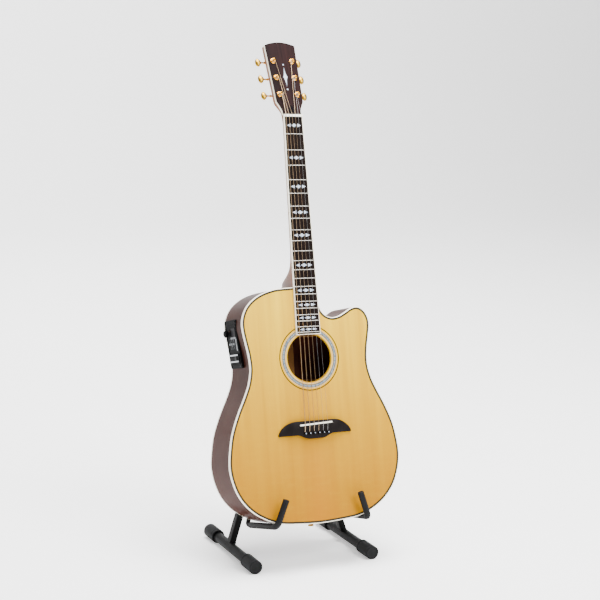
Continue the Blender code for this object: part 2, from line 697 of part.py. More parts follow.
def post_holes(name):
    """Six round cutters, one for each string post."""
    bm = bmesh.new()
    for side in (-1, 1):
        for up, out in zip(POST_UP, POST_OUT):
            bmesh.ops.create_cone(bm, cap_ends=True, segments=16, radius1=POST_HOLE, radius2=POST_HOLE,
                                  depth=0.06, matrix=place(side * out, up, 0))
    return finish(name, bm, HEADSTOCK, Matrix(), None)


def headplate():
    """Thin rosewood face glued to the headstock."""
    rises = [0.0008, 0.008, 0.013, 0.018, 0.024, HEAD_LOW, HEAD_CORNER, 0.1648, 0.1672, 0.1686, 0.1693]
    right = [(head_half(up), up) for up in rises]
    outline = right + [(-x, y) for x, y in reversed(right)]
    plate = prism("headplate", outline, GAP, HEADPLATE_TOP, HEADSTOCK, ROSEWOOD)
    cut(plate, post_holes("plate_post_holes"))


def fingerboard_and_nut():
    top = NUT_Y
    outline = [(board_half(BOARD_LOW_Y), BOARD_LOW_Y), (board_half(top), top),
               (-board_half(top), top), (-board_half(BOARD_LOW_Y), BOARD_LOW_Y)]
    prism("fingerboard", outline, GAP, BOARD_TOP, GUITAR, EBONY)
    box("nut", (-NUT_HALF, NUT_Y + GAP, GAP), (NUT_HALF, NUT_Y + GAP + NUT_THICK - 0.0003, NUT_TOP),
        GUITAR, BONE)


neck()
headplate()
fingerboard_and_nut()


# ---------------------------------------------------------------- tuners

def tuner_plate(side, name):
    """One strip with three gear covers behind the headstock, open towards it."""
    top = -HEAD_THICK - GAP
    low = SHAFT_Z - 0.0045
    across = sorted((side * COVER_INNER, side * COVER_OUTER))
    plate = box(name + "_tuner_plate", (across[0], POST_UP[0] - 0.012, top - COVER_WALL),
                (across[1], POST_UP[2] + 0.016, top), HEADSTOCK, GOLD)
    for up in POST_UP:
        cover = box("gear_cover", (across[0], up - COVER_BELOW, low),
                    (across[1], up + COVER_ABOVE, top - 0.0005), HEADSTOCK)
        join(plate, cover)
    for up in POST_UP:
        hollow = box("gear_hollow",
                     (across[0] + COVER_WALL, up - COVER_BELOW + COVER_WALL, low + COVER_WALL),
                     (across[1] - COVER_WALL, up + COVER_ABOVE - COVER_WALL, top + 0.005), HEADSTOCK)
        opening = rod("shaft_opening", SHAFT_RADIUS + GAP, 0.025, 0.035, HEADSTOCK, None,
                      place(0, up + SHAFT_UP, SHAFT_Z) @ turn(side * pi / 2, "Y"))
        cut(plate, hollow, opening)


def tuner(side, number, up, out):
    """A string post with its gear, and the knob whose worm turns it."""
    post_frame = frame(f"tuner_post_{number}_frame", place(side * out, up, 0), HEADSTOCK)
    gear_low, gear_high = SHAFT_Z - 0.0015, SHAFT_Z + 0.0015
    profile = [(0, POST_TOP), (0.0026, POST_TOP), (0.0033, POST_TOP - 0.001), (0.0033, POST_TOP - 0.002),
               (0.0026, 0.0065), (0.0026, 0.0045), (POST_RADIUS, 0.003), (POST_RADIUS, gear_high),
               (GEAR_RADIUS, gear_high), (GEAR_RADIUS, gear_low), (0, gear_low)]
    turned(f"tuner_post_{number}", profile, post_frame, GOLD, steps=12)

    matrix = place(0, up + SHAFT_UP, SHAFT_Z) @ turn(side * pi / 2, "Y")
    knob_frame = frame(f"tuner_knob_{number}_frame", matrix, HEADSTOCK)
    knob = rod(f"tuner_knob_{number}", SHAFT_RADIUS, 0.0150, KNOB_OUT - 0.002, knob_frame, GOLD, sides=10)
    bm = bmesh.new()
    bmesh.ops.create_uvsphere(bm, u_segments=10, v_segments=7, radius=1,
                              matrix=place(0, 0, KNOB_OUT) @ Matrix.Diagonal((*BUTTON_HALF, 1)))
    join(knob, finish(f"button_{number}", bm, knob_frame, Matrix(), None))
    collar = rod(f"collar_{number}", COLLAR_RADIUS, COLLAR_LOW, COLLAR_HIGH, knob_frame, sides=12)
    join(knob, collar)


for tuner_side, tuner_name in ((-1, "bass"), (1, "treble")):
    tuner_plate(tuner_side, tuner_name)
for index in range(6):
    tuner_side = -1 if index < 3 else 1
    row = index if index < 3 else 5 - index
    tuner(tuner_side, index + 1, POST_UP[row], POST_OUT[row])


# ---------------------------------------------------------------- strings

def string(index):
    """One string from the bridge over saddle and nut to its post."""
    radius = STRING_RADII[index]
    lift = radius + GAP
    place_across = index - 2.5
    side = -1 if index < 3 else 1
    row = index if index < 3 else 5 - index
    to_guitar = place(0, HEAD_Y, 0) @ turn(-HEAD_ANGLE, "X")
    x_low = place_across * SADDLE_SPACING
    x_nut = place_across * NUT_SPACING
    saddle_y = SADDLE_Y + x_low * tan(SADDLE_SLANT)
    post_x = side * (POST_OUT[row] - POST_RADIUS - lift)
    points = [Vector((x_low, PIN_ROW_Y, BRIDGE_TOP + lift)),
              Vector((x_low, saddle_y - SADDLE_THICK / 2, SADDLE_TOP + lift)),
              Vector((x_low, saddle_y + SADDLE_THICK / 2, SADDLE_TOP + lift)),
              Vector((x_nut, NUT_Y, NUT_TOP + lift)),
              Vector((x_nut, NUT_Y + NUT_THICK + GAP, NUT_TOP + lift)),
              to_guitar @ Vector((post_x, POST_UP[row], 0.0055))]
    wire(f"string_{index + 1}", points, radius, GUITAR, BRONZE if index < 4 else STEEL)


for string_index in range(6):
    string(string_index)


# ---------------------------------------------------------------- preamp

def preamp():
    """Bezel on the bass rim and its case inside, with the battery's pocket and slider slots."""
    half_x, half_y = BEZEL_HALF
    case = box("preamp_case", (-half_x, -half_y, -0.005), (half_x, half_y, BEZEL_TOP), PREAMP, PLASTIC)
    rim = prism("rim_cutter", inset(OUTLINE, -GAP), -0.13, 0.01, GUITAR)
    cut(case, rim)
    join(case, box("case_inside", (-CASE_HALF[0], -CASE_HALF[1], -CASE_DEPTH),
                   (CASE_HALF[0], CASE_HALF[1], BEZEL_TOP - 0.001), PREAMP))
    room = 0.0004
    battery_x, battery_y = BATTERY_HALF
    cut(case, box("battery_pocket",
                  (BATTERY_X - battery_x - room, -battery_y - room, -BATTERY_DEPTH - room),
                  (BATTERY_X + battery_x + room, battery_y + room, 0.01), PREAMP))
    holder = box("preamp_battery_holder", (BATTERY_X - battery_x, -battery_y, -BATTERY_DEPTH),
                 (BATTERY_X + battery_x, battery_y, BEZEL_TOP + 0.0010), PREAMP, PLASTIC)
    cut(holder, box("battery_tray",
                    (BATTERY_X - battery_x + 0.002, -battery_y + 0.002, 0.004 - BATTERY_DEPTH),
                    (BATTERY_X + 0.02, battery_y - 0.002, -0.001), PREAMP))
    for name, y in zip(("bass", "middle", "treble"), SLIDER_ROWS):
        travel = SLIDER_TRAVEL + 0.0015
        cut(case, box(f"{name}_slot", (SLIDER_X - travel, y - 0.0010, BEZEL_TOP - 0.004),
                      (SLIDER_X + travel, y + 0.0010, 0.01), PREAMP))
        cap = box(f"preamp_{name}_slider", (SLIDER_X - 0.0020, y - 0.0030, BEZEL_TOP + GAP),
                  (SLIDER_X + 0.0020, y + 0.0030, BEZEL_TOP + 0.0030), PREAMP, PLASTIC)
        join(cap, box(f"{name}_stem", (SLIDER_X - 0.0010, y - 0.0006, BEZEL_TOP - 0.0035),
                      (SLIDER_X + 0.0010, y + 0.0006, BEZEL_TOP + 0.001), PREAMP))
    knob_frame = frame("preamp_volume_frame", place(*VOLUME_AT, 0), PREAMP)
    profile = [(0, BEZEL_TOP + 0.0075), (VOLUME_RADIUS - 0.001, BEZEL_TOP + 0.0075),
               (VOLUME_RADIUS, BEZEL_TOP + 0.0065), (VOLUME_RADIUS, BEZEL_TOP + GAP), (0, BEZEL_TOP + GAP)]
    turned("preamp_volume_knob", profile, knob_frame, PLASTIC, steps=20)


preamp()
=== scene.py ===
"""Looks of the guitar on its folding floor stand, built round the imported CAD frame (metres, +Z up)."""
import json
from math import atan2, cos, pi, radians, sin, sqrt

import bmesh
import bpy
from mathutils import Matrix, Vector


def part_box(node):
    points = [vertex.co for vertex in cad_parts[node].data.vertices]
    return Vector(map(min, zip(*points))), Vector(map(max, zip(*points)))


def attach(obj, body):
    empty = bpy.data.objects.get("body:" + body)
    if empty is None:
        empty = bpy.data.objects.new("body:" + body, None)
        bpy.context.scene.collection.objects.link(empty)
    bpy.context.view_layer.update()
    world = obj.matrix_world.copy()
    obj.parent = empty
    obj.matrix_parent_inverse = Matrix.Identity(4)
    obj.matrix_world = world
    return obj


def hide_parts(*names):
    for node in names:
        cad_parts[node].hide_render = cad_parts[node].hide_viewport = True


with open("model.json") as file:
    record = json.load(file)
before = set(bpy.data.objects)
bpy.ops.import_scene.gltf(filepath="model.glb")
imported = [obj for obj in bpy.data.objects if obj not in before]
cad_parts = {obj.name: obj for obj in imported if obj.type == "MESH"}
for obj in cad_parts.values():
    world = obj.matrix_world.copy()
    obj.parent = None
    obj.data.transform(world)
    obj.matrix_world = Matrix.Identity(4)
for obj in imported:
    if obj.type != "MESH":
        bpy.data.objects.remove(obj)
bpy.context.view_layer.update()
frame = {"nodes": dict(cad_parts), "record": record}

NODES = frame["nodes"]
JOINTS = {joint["name"]: joint for joint in frame["record"]["behaviour"]["joints"]}

# Driving sizes, as the CAD has them
POST_UP = (0.046, 0.085, 0.124)
POST_OUT = (0.0205, 0.0212, 0.0220)
HEAD_ANGLE = radians(14)
HEAD_Y = 0.8646
HEAD_THICK = 0.014
NECK_LEAN = radians(3.6)       # of the neck's own frame, so that its box is close round it
HEAD_LOW, HEAD_CORNER, HEAD_END = 0.030, 0.162, 0.1695
HEAD_LOW_HALF, HEAD_HIGH_HALF = 0.0312, 0.0353
HEAD_EDGE = 0.0046             # depth of the ivory layer under the headstock's face
BODY_TOP = 0.498
BODY_DEPTH = 0.110
BACK_RISE = 0.0265
PLATE = 0.003
HOLE_Y, HOLE_RADIUS = 0.348, 0.050
SCALE = 0.650
NUT_Y, NUT_HALF, BOARD_FLARE = 0.859, 0.0215, 0.01407
BOARD_LOW_Y, BOARD_BOTTOM, BOARD_TOP = 0.397, 0.0003, 0.0063
BRIDGE_TOP, PIN_ROW_Y, SADDLE_SPACING = 0.0088, 0.193, 0.0106
STRING_RADII = (0.00066, 0.00053, 0.00042, 0.00034, 0.00022, 0.00018)
SHAFT_UP, SHAFT_Z, KNOB_OUT = 0.0065, -0.0205, 0.0470
COVER_MIDDLE, COVER_HALF = 0.0195, 0.0070
VOLUME_AT = (0.024, 0.019)
BEZEL_TOP = 0.0045
BEZEL_HALF = (0.051, 0.031)
BATTERY_X, BATTERY_DEPTH = -0.031, 0.034
POCKET_HALF, POCKET_WALL = (0.0109, 0.0239), 0.0012
SLIDER_X, SLIDER_ROWS = 0.001, (-0.012, -0.002, 0.008)
STAND_TILT = radians(7)

LOWER_BOUT = [(0.0, 0.0), (0.048, 0.0022), (0.090, 0.0065), (0.122, 0.0175), (0.153, 0.037),
              (0.177, 0.064), (0.191, 0.095), (0.1975, 0.130), (0.1945, 0.165), (0.187, 0.200),
              (0.172, 0.238), (0.155, 0.272), (0.143, 0.300), (0.1368, 0.330)]
BASS_SHOULDER = [(0.1385, 0.360), (0.1450, 0.395), (0.1485, 0.420), (0.146, 0.440),
                 (0.136, 0.460), (0.120, 0.4755), (0.098, 0.4875), (0.068, 0.4955), (0.030, BODY_TOP)]
TREBLE_SHOULDER = [(0.1385, 0.360), (0.1440, 0.389), (0.1474, 0.409), (0.1465, 0.424),
                   (0.1405, 0.438), (0.131, 0.4475), (0.119, 0.4515), (0.105, 0.4485),
                   (0.091, 0.4405), (0.076, 0.4335), (0.0605, 0.431), (0.047, 0.435),
                   (0.0375, 0.4435), (0.0315, 0.455), (0.0285, 0.474), (0.028, BODY_TOP)]


# ---------------------------------------------------------------- frames, read from the joints

def turn(angle, axis):
    return Matrix.Rotation(angle, 4, axis)


def place(x, y, z):
    return Matrix.Translation((x, y, z))


def axes(x_axis, y_axis, z_axis, at):
    return place(*at) @ Matrix((x_axis, y_axis, z_axis)).transposed().to_4x4()


def head_frame():
    """Headstock: x across, y up it, z out of its face, from behind the nut."""
    normal = Vector(JOINTS["post_1_turn"]["axis"]).normalized()
    across = Vector((1, 0, 0))
    up = normal.cross(across)
    at = Vector(JOINTS["post_1_turn"]["pos_m"]) + across * POST_OUT[0] - up * POST_UP[0]
    return axes(across, up, normal, at)


def preamp_frame():
    """Preamp: x up the rim, y to the back, z out of the rim."""
    out = Vector(JOINTS["battery_slide"]["axis"]).normalized()
    along = Vector(JOINTS["bass_slide"]["axis"]).normalized()
    back = out.cross(along)
    at = Vector(JOINTS["volume_turn"]["pos_m"]) - along * VOLUME_AT[0] - back * VOLUME_AT[1] - out * 0.005
    return axes(along, back, out, at)


HEAD = head_frame()
GUITAR = HEAD @ turn(HEAD_ANGLE, "X") @ place(0, -HEAD_Y, 0)
PREAMP = preamp_frame()


# ---------------------------------------------------------------- camera, floor and light

def camera():
    """The photograph's viewpoint: 27 degrees to the left and 11 degrees above."""
    azimuth, height, roll = radians(-26.74), radians(11.38), radians(2.57)
    back = Vector((sin(azimuth) * cos(height), -cos(azimuth) * cos(height), sin(height)))
    right = Vector((cos(azimuth), sin(azimuth), 0))
    up = back.cross(right)
    target = Vector((0, -0.1361, 0.5))
    data = bpy.data.cameras.new("camera")
    data.sensor_width = 36
    data.lens = 90.47
    data.shift_x = -0.0440
    data.shift_y = 0.0612
    eye = bpy.data.objects.new("camera", data)
    bpy.context.scene.collection.objects.link(eye)
    eye.matrix_world = axes(right * cos(roll) + up * sin(roll), up * cos(roll) - right * sin(roll), back,
                            target + back * 3.10015)
    bpy.context.scene.camera = eye


def stage(look):
    """One pale sheet: a floor that curves up into a backdrop far behind."""
    bm = bmesh.new()
    depth, bend, height, half = 5.0, 2.0, 6.0, 9.0
    line = [(-9.0, 0.0), (depth, 0.0)]
    line += [(depth + bend * sin(a), bend - bend * cos(a)) for a in (pi / 2 * i / 16 for i in range(1, 17))]
    line.append((depth + bend, height))
    rows = [[bm.verts.new((x, y, z - 0.0002)) for x in (-half, half)] for y, z in line]
    for low, high in zip(rows, rows[1:]):
        bm.faces.new((low[0], low[1], high[1], high[0]))
    mesh = bpy.data.meshes.new("studio_floor")
    bm.to_mesh(mesh)
    bm.free()
    mesh.shade_smooth()
    mesh.materials.append(look)
    floor = bpy.data.objects.new("studio_floor", mesh)
    bpy.context.scene.collection.objects.link(floor)


def soft_light(name, at, aim, size, power):
    data = bpy.data.lights.new(name, "AREA")
    data.shape = "RECTANGLE"
    data.size, data.size_y = size
    data.energy = power
    lamp = bpy.data.objects.new(name, data)
    bpy.context.scene.collection.objects.link(lamp)
    lamp.location = at
    lamp.rotation_euler = (Vector(aim) - Vector(at)).to_track_quat("-Z", "Y").to_euler()


def lights():
    middle = (0, 0, 0.5)
    soft_light("key_softbox", (1.6, -3.2, 3.0), middle, (2.0, 2.0), 230)
    soft_light("side_softbox", (-3.4, -0.4, 2.2), middle, (1.2, 2.0), 16)
    soft_light("top_softbox", (0.3, -0.3, 4.0), middle, (2.6, 2.6), 560)
    soft_light("backdrop_softbox", (0, 2.6, 4.2), (0, 6.5, 1.5), (4.0, 2.0), 420)
    world = bpy.data.worlds.new("studio")
    world.use_nodes = True
    world.node_tree.nodes["Background"].inputs["Color"].default_value = (1, 1, 1, 1)
    world.node_tree.nodes["Background"].inputs["Strength"].default_value = 0.36
    bpy.context.scene.world = world


# ---------------------------------------------------------------- materials

def tone(red, green, blue):
    """A colour given in everyday 0 to 255 values."""
    return (*((c / 255 / 12.92 if c < 10.3 else ((c / 255 + 0.055) / 1.055) ** 2.4)
              for c in (red, green, blue)), 1.0)


class Look:
    """A Principled material whose node tree is built by short calls."""

    def __init__(self, name, slot, roughness, metallic=0.0, coat=0.0, coat_roughness=0.06, shine=0.5):
        self.material = bpy.data.materials.new(name)
        self.material.use_nodes = True
        self.slot = slot
        self.tree = self.material.node_tree
        self.shader = self.tree.nodes["Principled BSDF"]
        for socket, value in (("Roughness", roughness), ("Metallic", metallic), ("Coat Weight", coat),
                              ("Coat Roughness", coat_roughness), ("Specular IOR Level", shine)):
            self.shader.inputs[socket].default_value = value

    def add(self, kind, inputs=(), **settings):
        node = self.tree.nodes.new("ShaderNode" + kind)
        for key, value in settings.items():
            setattr(node, key, value)
        for socket, value in dict(inputs).items():
            self.feed(node, socket, value)
        return node

    def feed(self, node, socket, value):
        if isinstance(value, bpy.types.NodeSocket):
            self.tree.links.new(value, node.inputs[socket])
        else:
            node.inputs[socket].default_value = value

    def coords(self, scale=(1, 1, 1), rotation=(0, 0, 0)):
        """Object coordinates, stretched."""
        texture = self.add("TexCoord")
        return self.add("Mapping", {"Vector": texture.outputs["Object"], "Scale": scale,
                                    "Rotation": rotation}).outputs["Vector"]

    def noise(self, vector, scale, detail=4.0, roughness=0.55, distortion=0.0):
        made = self.add("TexNoise", {"Vector": vector, "Scale": scale, "Detail": detail,
                                     "Roughness": roughness, "Distortion": distortion})
        return made.outputs["Fac"]

    def ramp(self, value, stops):
        made = self.add("ValToRGB", {"Fac": value})
        band = made.color_ramp.elements
        while len(band) < len(stops):
            band.new(0.5)
        for stop, (at, color) in zip(band, stops):
            stop.position = at
            stop.color = color
        return made.outputs["Color"]

    def mix(self, factor, a, b, blend="MIX"):
        made = self.add("Mix", data_type="RGBA", blend_type=blend)
        self.feed(made, 0, factor)
        self.feed(made, 6, a)
        self.feed(made, 7, b)
        return made.outputs[2]

    def span(self, value, low, high):
        made = self.add("MapRange", {"Value": value, "To Min": low, "To Max": high})
        return made.outputs["Result"]

    def bump(self, height, strength, distance):
        made = self.add("Bump", {"Height": height, "Strength": strength, "Distance": distance})
        self.feed(self.shader, "Normal", made.outputs["Normal"])

    def color(self, value):
        self.feed(self.shader, "Base Color", value)

    def rough(self, value):
        self.feed(self.shader, "Roughness", value)


def wood(name, slot, light, dark, deep, grain=420.0, stretch=0.02, rotation=(0, 0, 0), roughness=0.4,
         coat=0.0, coat_roughness=0.06, figure=0.5, pores=0.5, broad=14.0, shine=0.4):
    """Grain lines and pores along local y, over broad bands of tone."""
    look = Look(name, slot, roughness, coat=coat, coat_roughness=coat_roughness, shine=shine)
    fine = look.noise(look.coords((1, stretch, 1), rotation), grain, 5, 0.6)
    wide = look.noise(look.coords((1, stretch * 5, 1), rotation), broad, 3, 0.5, 0.6)
    pore = look.noise(look.coords((1, stretch * 1.6, 1), rotation), grain * 2.4, 2, 0.7)
    base = look.ramp(wide, [(0.32, light), (0.70, dark)])
    lines = look.ramp(fine, [(0.38, (0, 0, 0, 1)), (0.66, (figure, figure, figure, 1))])
    grained = look.mix(lines, base, dark)
    holes = look.ramp(pore, [(0.60, (0, 0, 0, 1)), (0.72, (pores, pores, pores, 1))])
    look.color(look.mix(holes, grained, deep))
    look.bump(pore, 0.10, 0.0002)
    return look


def spruce():
    """Quarter-sawn top: straight growth lines, cross silk, and amber that deepens downwards."""
    look = Look("spruce_lacquered", "spruce_top", 0.42, coat=0.05, coat_roughness=0.10, shine=0.06)
    plain = look.coords()
    lines = look.add("TexWave", {"Vector": look.coords((1, 0.012, 1)), "Scale": 230.0, "Distortion": 1.6,
                                 "Detail": 2.0, "Detail Scale": 1.2}, wave_type="BANDS",
                     bands_direction="X", wave_profile="SAW").outputs["Fac"]
    wide = look.noise(look.coords((1, 0.03, 1)), 42.0, 4, 0.55)
    silk = look.noise(look.coords((0.25, 1, 1)), 95.0, 3, 0.5)
    height = look.add("SeparateXYZ", {"Vector": plain}).outputs["Y"]
    low_to_high = look.add("MapRange", {"Value": height, "From Min": 0.02, "From Max": 0.46}).outputs["Result"]
    amber = look.ramp(low_to_high, [(0.0, tone(160, 108, 2)), (0.45, tone(190, 142, 6)),
                                    (1.0, tone(228, 186, 30))])
    shaded = look.mix(look.ramp(wide, [(0.35, (0, 0, 0, 1)), (0.70, (0.45, 0.45, 0.45, 1))]), amber,
                      tone(150, 94, 2))
    lined = look.mix(look.ramp(lines, [(0.55, (0, 0, 0, 1)), (1.0, (0.42, 0.42, 0.42, 1))]), shaded,
                     tone(120, 68, 4))
    # Darker towards the centre line, fading out 5 cm to each side.
    side = look.add("SeparateXYZ", {"Vector": plain}).outputs["X"]
    near = look.add("MapRange", {"Value": look.add("Math", {0: side}, operation="ABSOLUTE").outputs[0],
                                 "From Max": 0.05, "To Min": 0.30, "To Max": 0.0}).outputs["Result"]
    centre_darkened = look.mix(near, lined, tone(166, 96, 8))
    look.color(look.mix(look.ramp(silk, [(0.5, (0, 0, 0, 1)), (0.8, (0.07, 0.07, 0.07, 1))]), centre_darkened,
                        tone(208, 168, 44)))
    look.bump(lines, 0.03, 0.0001)
    return look


def metal(name, slot, color, dull, roughness=0.22, speck=900.0):
    """Polished metal with faint smears and tiny marks."""
    look = Look(name, slot, roughness, metallic=1.0)
    smear = look.noise(look.coords(), 60.0, 4)
    mark = look.noise(look.coords((1, 1, 0.2)), speck, 3)
    look.color(look.mix(look.ramp(smear, [(0.4, (0, 0, 0, 1)), (0.8, (0.7, 0.7, 0.7, 1))]), color, dull))
    look.rough(look.span(mark, roughness * 0.7, roughness * 1.5))
    look.bump(mark, 0.05, 0.0001)
    return look


def plain(name, slot, color, shade, roughness, scale, bumps, coat=0.0, distance=0.0002, shine=0.5):
    """A moulded, painted or rubber surface with soft tone changes and a fine skin."""
    look = Look(name, slot, roughness, coat=coat, shine=shine)
    cloud = look.noise(look.coords(), scale / 12, 3)
    skin = look.noise(look.coords(), scale, 3, 0.6)
    look.color(look.mix(look.ramp(cloud, [(0.35, (0, 0, 0, 1)), (0.7, (1, 1, 1, 1))]), color, shade))
    look.rough(look.span(skin, roughness * 0.85, min(roughness * 1.2, 1.0)))
    look.bump(skin, bumps, distance)
    return look


def pearl(name, cool, warm, pale):
    """Shell with drifting patches of colour."""
    look = Look(name, "bone", 0.30, coat=0.15, shine=0.2)
    patches = look.noise(look.coords(), 190.0, 3, 0.6, 1.5)
    flecks = look.add("TexVoronoi", {"Vector": look.coords(), "Scale": 420.0}).outputs["Distance"]
    body = look.ramp(patches, [(0.35, cool), (0.52, pale), (0.68, warm)])
    look.color(look.mix(look.ramp(flecks, [(0.1, (0, 0, 0, 1)), (0.9, (0.35, 0.35, 0.35, 1))]), body, cool))
    look.bump(patches, 0.05, 0.0002)
    return look


def winding_look():
    """Round-wound bronze: fine ridges along the string, with painted shade in the grooves between turns."""
    look = Look("wound_bronze", "bronze_wound", 0.32, metallic=1.0)
    ridges = look.add("TexWave", {"Vector": look.coords(), "Scale": 520.0}, bands_direction="Z").outputs["Fac"]
    # The colour darkens in the grooves between turns: painted shade.
    look.color(look.ramp(ridges, [(0.1, tone(168, 138, 108)), (0.6, tone(216, 190, 158))]))
    look.bump(ridges, 0.15, 0.0002)
    return look


SPRUCE = spruce()
# Raw inside wood, its colour darkened to paint in the shade inside the body.
RAW_PAINTED_SHADE = wood("raw_spruce_painted_shade", "raw_spruce", tone(150, 106, 58), tone(122, 82, 42), tone(84, 52, 24),
           roughness=0.8, shine=0.1)
MAHOGANY = wood("mahogany_lacquered", "mahogany", tone(86, 43, 31), tone(62, 30, 21), tone(28, 11, 7),
                roughness=0.36, coat=0.15, coat_roughness=0.08, shine=0.05, rotation=(0, 0, radians(0.5)), pores=0.55)
RIM_WOOD = wood("rim_mahogany", "mahogany", tone(62, 32, 24), tone(45, 22, 16), tone(22, 9, 6),
                roughness=0.4, coat=0.04, coat_roughness=0.10, pores=0.5, broad=10.0, shine=0.02)
NECK_WOOD = wood("neck_mahogany", "neck_wood", tone(132, 78, 40), tone(104, 57, 27), tone(56, 27, 13),
                 roughness=0.42, coat=0.12, coat_roughness=0.15, shine=0.15)
EBONY = wood("ebony_wood", "ebony", tone(26, 17, 14), tone(13, 9, 8), tone(64, 38, 24), roughness=0.5,
             pores=0.35, figure=0.8, broad=30.0, shine=0.03)
BRIDGE_WOOD = wood("bridge_ebony", "ebony", tone(20, 15, 14), tone(12, 9, 9), tone(46, 30, 22),
                   rotation=(0, 0, radians(90)), roughness=0.5, pores=0.3, shine=0.07)
ROSEWOOD = wood("rosewood_lacquered", "rosewood", tone(40, 21, 20), tone(20, 11, 12), tone(8, 4, 5),
                roughness=0.34, coat=0.08, coat_roughness=0.08, figure=0.8, broad=26.0, shine=0.04)
PURFLING = wood("purfling_wood", "ebony", tone(46, 40, 24), tone(36, 31, 18), tone(20, 16, 9), roughness=0.4,
                coat=0.05, shine=0.1)
MAPLE = wood("maple_wood", "maple", tone(190, 146, 92), tone(168, 124, 74), tone(130, 88, 48), roughness=0.7)
IVORY = plain("ivory_binding", "bone", tone(246, 238, 220), tone(238, 226, 200), 0.32, 300.0, 0.02, coat=0.7)
BONE = plain("bone_white", "bone", tone(248, 243, 230), tone(240, 231, 210), 0.34, 420.0, 0.04, coat=0.3)
CREAM = plain("aged_cream", "bone", tone(196, 164, 104), tone(178, 146, 88), 0.36, 300.0, 0.02, shine=0.2)
PEARL = pearl("pearl_shell", tone(140, 162, 190), tone(196, 182, 194), tone(206, 216, 224))
ABALONE = pearl("grey_shell", tone(62, 74, 84), tone(96, 98, 104), tone(132, 142, 148))
GOLD = metal("gold_polished", "gold_plate", tone(206, 146, 44), tone(160, 104, 24), roughness=0.16)
GOLD_SATIN = metal("gold_satin", "gold_plate", tone(176, 138, 46), tone(136, 102, 30), roughness=0.30)
NICKEL = metal("nickel_silver", "steel", tone(176, 172, 164), tone(140, 136, 128), roughness=0.28)
ZINC = metal("zinc_plated", "steel", tone(150, 152, 156), tone(104, 106, 110), roughness=0.35)
BRONZE = winding_look()
STEEL = metal("plain_steel", "steel", tone(205, 205, 205), tone(168, 168, 170), roughness=0.3)
PAINT = plain("black_powder_coat", "stand_paint", tone(3, 3, 3), tone(6, 6, 6), 0.46, 1400.0, 0.12, shine=0.07)
RUBBER = plain("charcoal_rubber", "stand_rubber", tone(12, 12, 13), tone(18, 18, 19), 0.62, 2200.0, 0.25, shine=0.12)
PLASTIC = plain("black_plastic_skin", "black_plastic", tone(4, 4, 5), tone(8, 8, 9), 0.55, 3000.0, 0.12, shine=0.03)
GLOSS_BLACK = plain("gloss_black", "black_plastic", tone(3, 3, 4), tone(7, 5, 12), 0.32, 800.0, 0.01, shine=0.03)
GREY = plain("grey_plastic", "black_plastic", tone(84, 86, 90), tone(104, 106, 110), 0.4, 2000.0, 0.1, shine=0.15)
SILVER = metal("silver_trim", "steel", tone(150, 152, 156), tone(116, 118, 124), roughness=0.3)
FLOOR = plain("studio_paper", None, tone(250, 250, 250), tone(252, 252, 252), 0.9, 40.0, 0.0)
FLOOR.shader.inputs["Emission Color"].default_value = (1, 1, 1, 1)
FLOOR.shader.inputs["Emission Strength"].default_value = 0.5


# ---------------------------------------------------------------- mesh helpers

def smooth_line(points, steps):
    """A Catmull-Rom line through points, with steps spans between each two."""
    controls = [Vector(point) for point in points]
    controls = [2 * controls[0] - controls[1], *controls, 2 * controls[-1] - controls[-2]]
    line = []
    for a, b, c, d in zip(controls, controls[1:], controls[2:], controls[3:]):
        for step in range(steps):
            t = step / steps
            line.append((2 * b + (c - a) * t + (2 * a - 5 * b + 4 * c - d) * t * t
                         + (3 * b - a - 3 * c + d) * t ** 3) / 2)
    line.append(controls[-2])
    return line


def inset(outline, distance):
    """Move a closed anticlockwise outline inwards by an even distance."""
    moved = []
    for before, point, after in zip(outline[-1:] + outline[:-1], outline, outline[1:] + outline[:1]):
        first = (point - before).normalized()
        second = (after - point).normalized()
        normal = Vector((-first.y - second.y, first.x + second.x)).normalized()
        lean = normal.dot(Vector((-second.y, second.x)))
        moved.append(point + normal * distance / max(lean, 0.5))
    return moved


def show(piece, look, body, stands_for=(), bevel=0.0):
    """Give a placed piece its material, body and soft edges."""
    piece.data.materials.clear()
    piece.data.materials.append(look.material)
    if bevel:
        soft = piece.modifiers.new("soft_edges", "BEVEL")
        soft.width = bevel
        soft.segments = 3
        soft.limit_method = "ANGLE"
        soft.angle_limit = radians(40)
        soft.harden_normals = True
    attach(piece, body)
    if stands_for:
        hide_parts(*stands_for)
    return piece


def piece(name, bm, matrix, look, body, stands_for=(), bevel=0.0, sharp=40):
    """A bmesh becomes one visible piece in place."""
    bmesh.ops.recalc_face_normals(bm, faces=bm.faces)
    mesh = bpy.data.meshes.new(name)
    bm.to_mesh(mesh)
    bm.free()
    mesh.shade_smooth()
    mesh.set_sharp_from_angle(angle=radians(sharp))
    made = bpy.data.objects.new(name, mesh)
    bpy.context.scene.collection.objects.link(made)
    made.matrix_world = matrix
    return show(made, look, body, stands_for, bevel)


def carve(target, bm, matrix):
    """Cut a shape out of a finished piece."""
    mesh = bpy.data.meshes.new("cutter")
    bm.to_mesh(mesh)
    bm.free()
    cutter = bpy.data.objects.new("cutter", mesh)
    bpy.context.scene.collection.objects.link(cutter)
    cutter.matrix_world = matrix
    hole = target.modifiers.new("hole", "BOOLEAN")
    hole.object = cutter
    hole.solver = "EXACT"
    graph = bpy.context.evaluated_depsgraph_get()
    carved = bpy.data.meshes.new_from_object(target.evaluated_get(graph))
    target.modifiers.remove(hole)
    target.data = carved
    bpy.data.objects.remove(cutter)


def band(outline, profile, rise=0.0):
    """A closed ring round an outline; profile is a closed loop of (inset, height)."""
    bm = bmesh.new()
    loops = [[bm.verts.new((p.x, p.y, height + rise * p.y)) for p in inset(outline, distance)]
             for distance, height in profile]
    for low, high in zip(loops, loops[1:] + loops[:1]):
        for i in range(len(low)):
            j = (i + 1) % len(low)
            bm.faces.new((low[i], low[j], high[j], high[i]))
    return bm


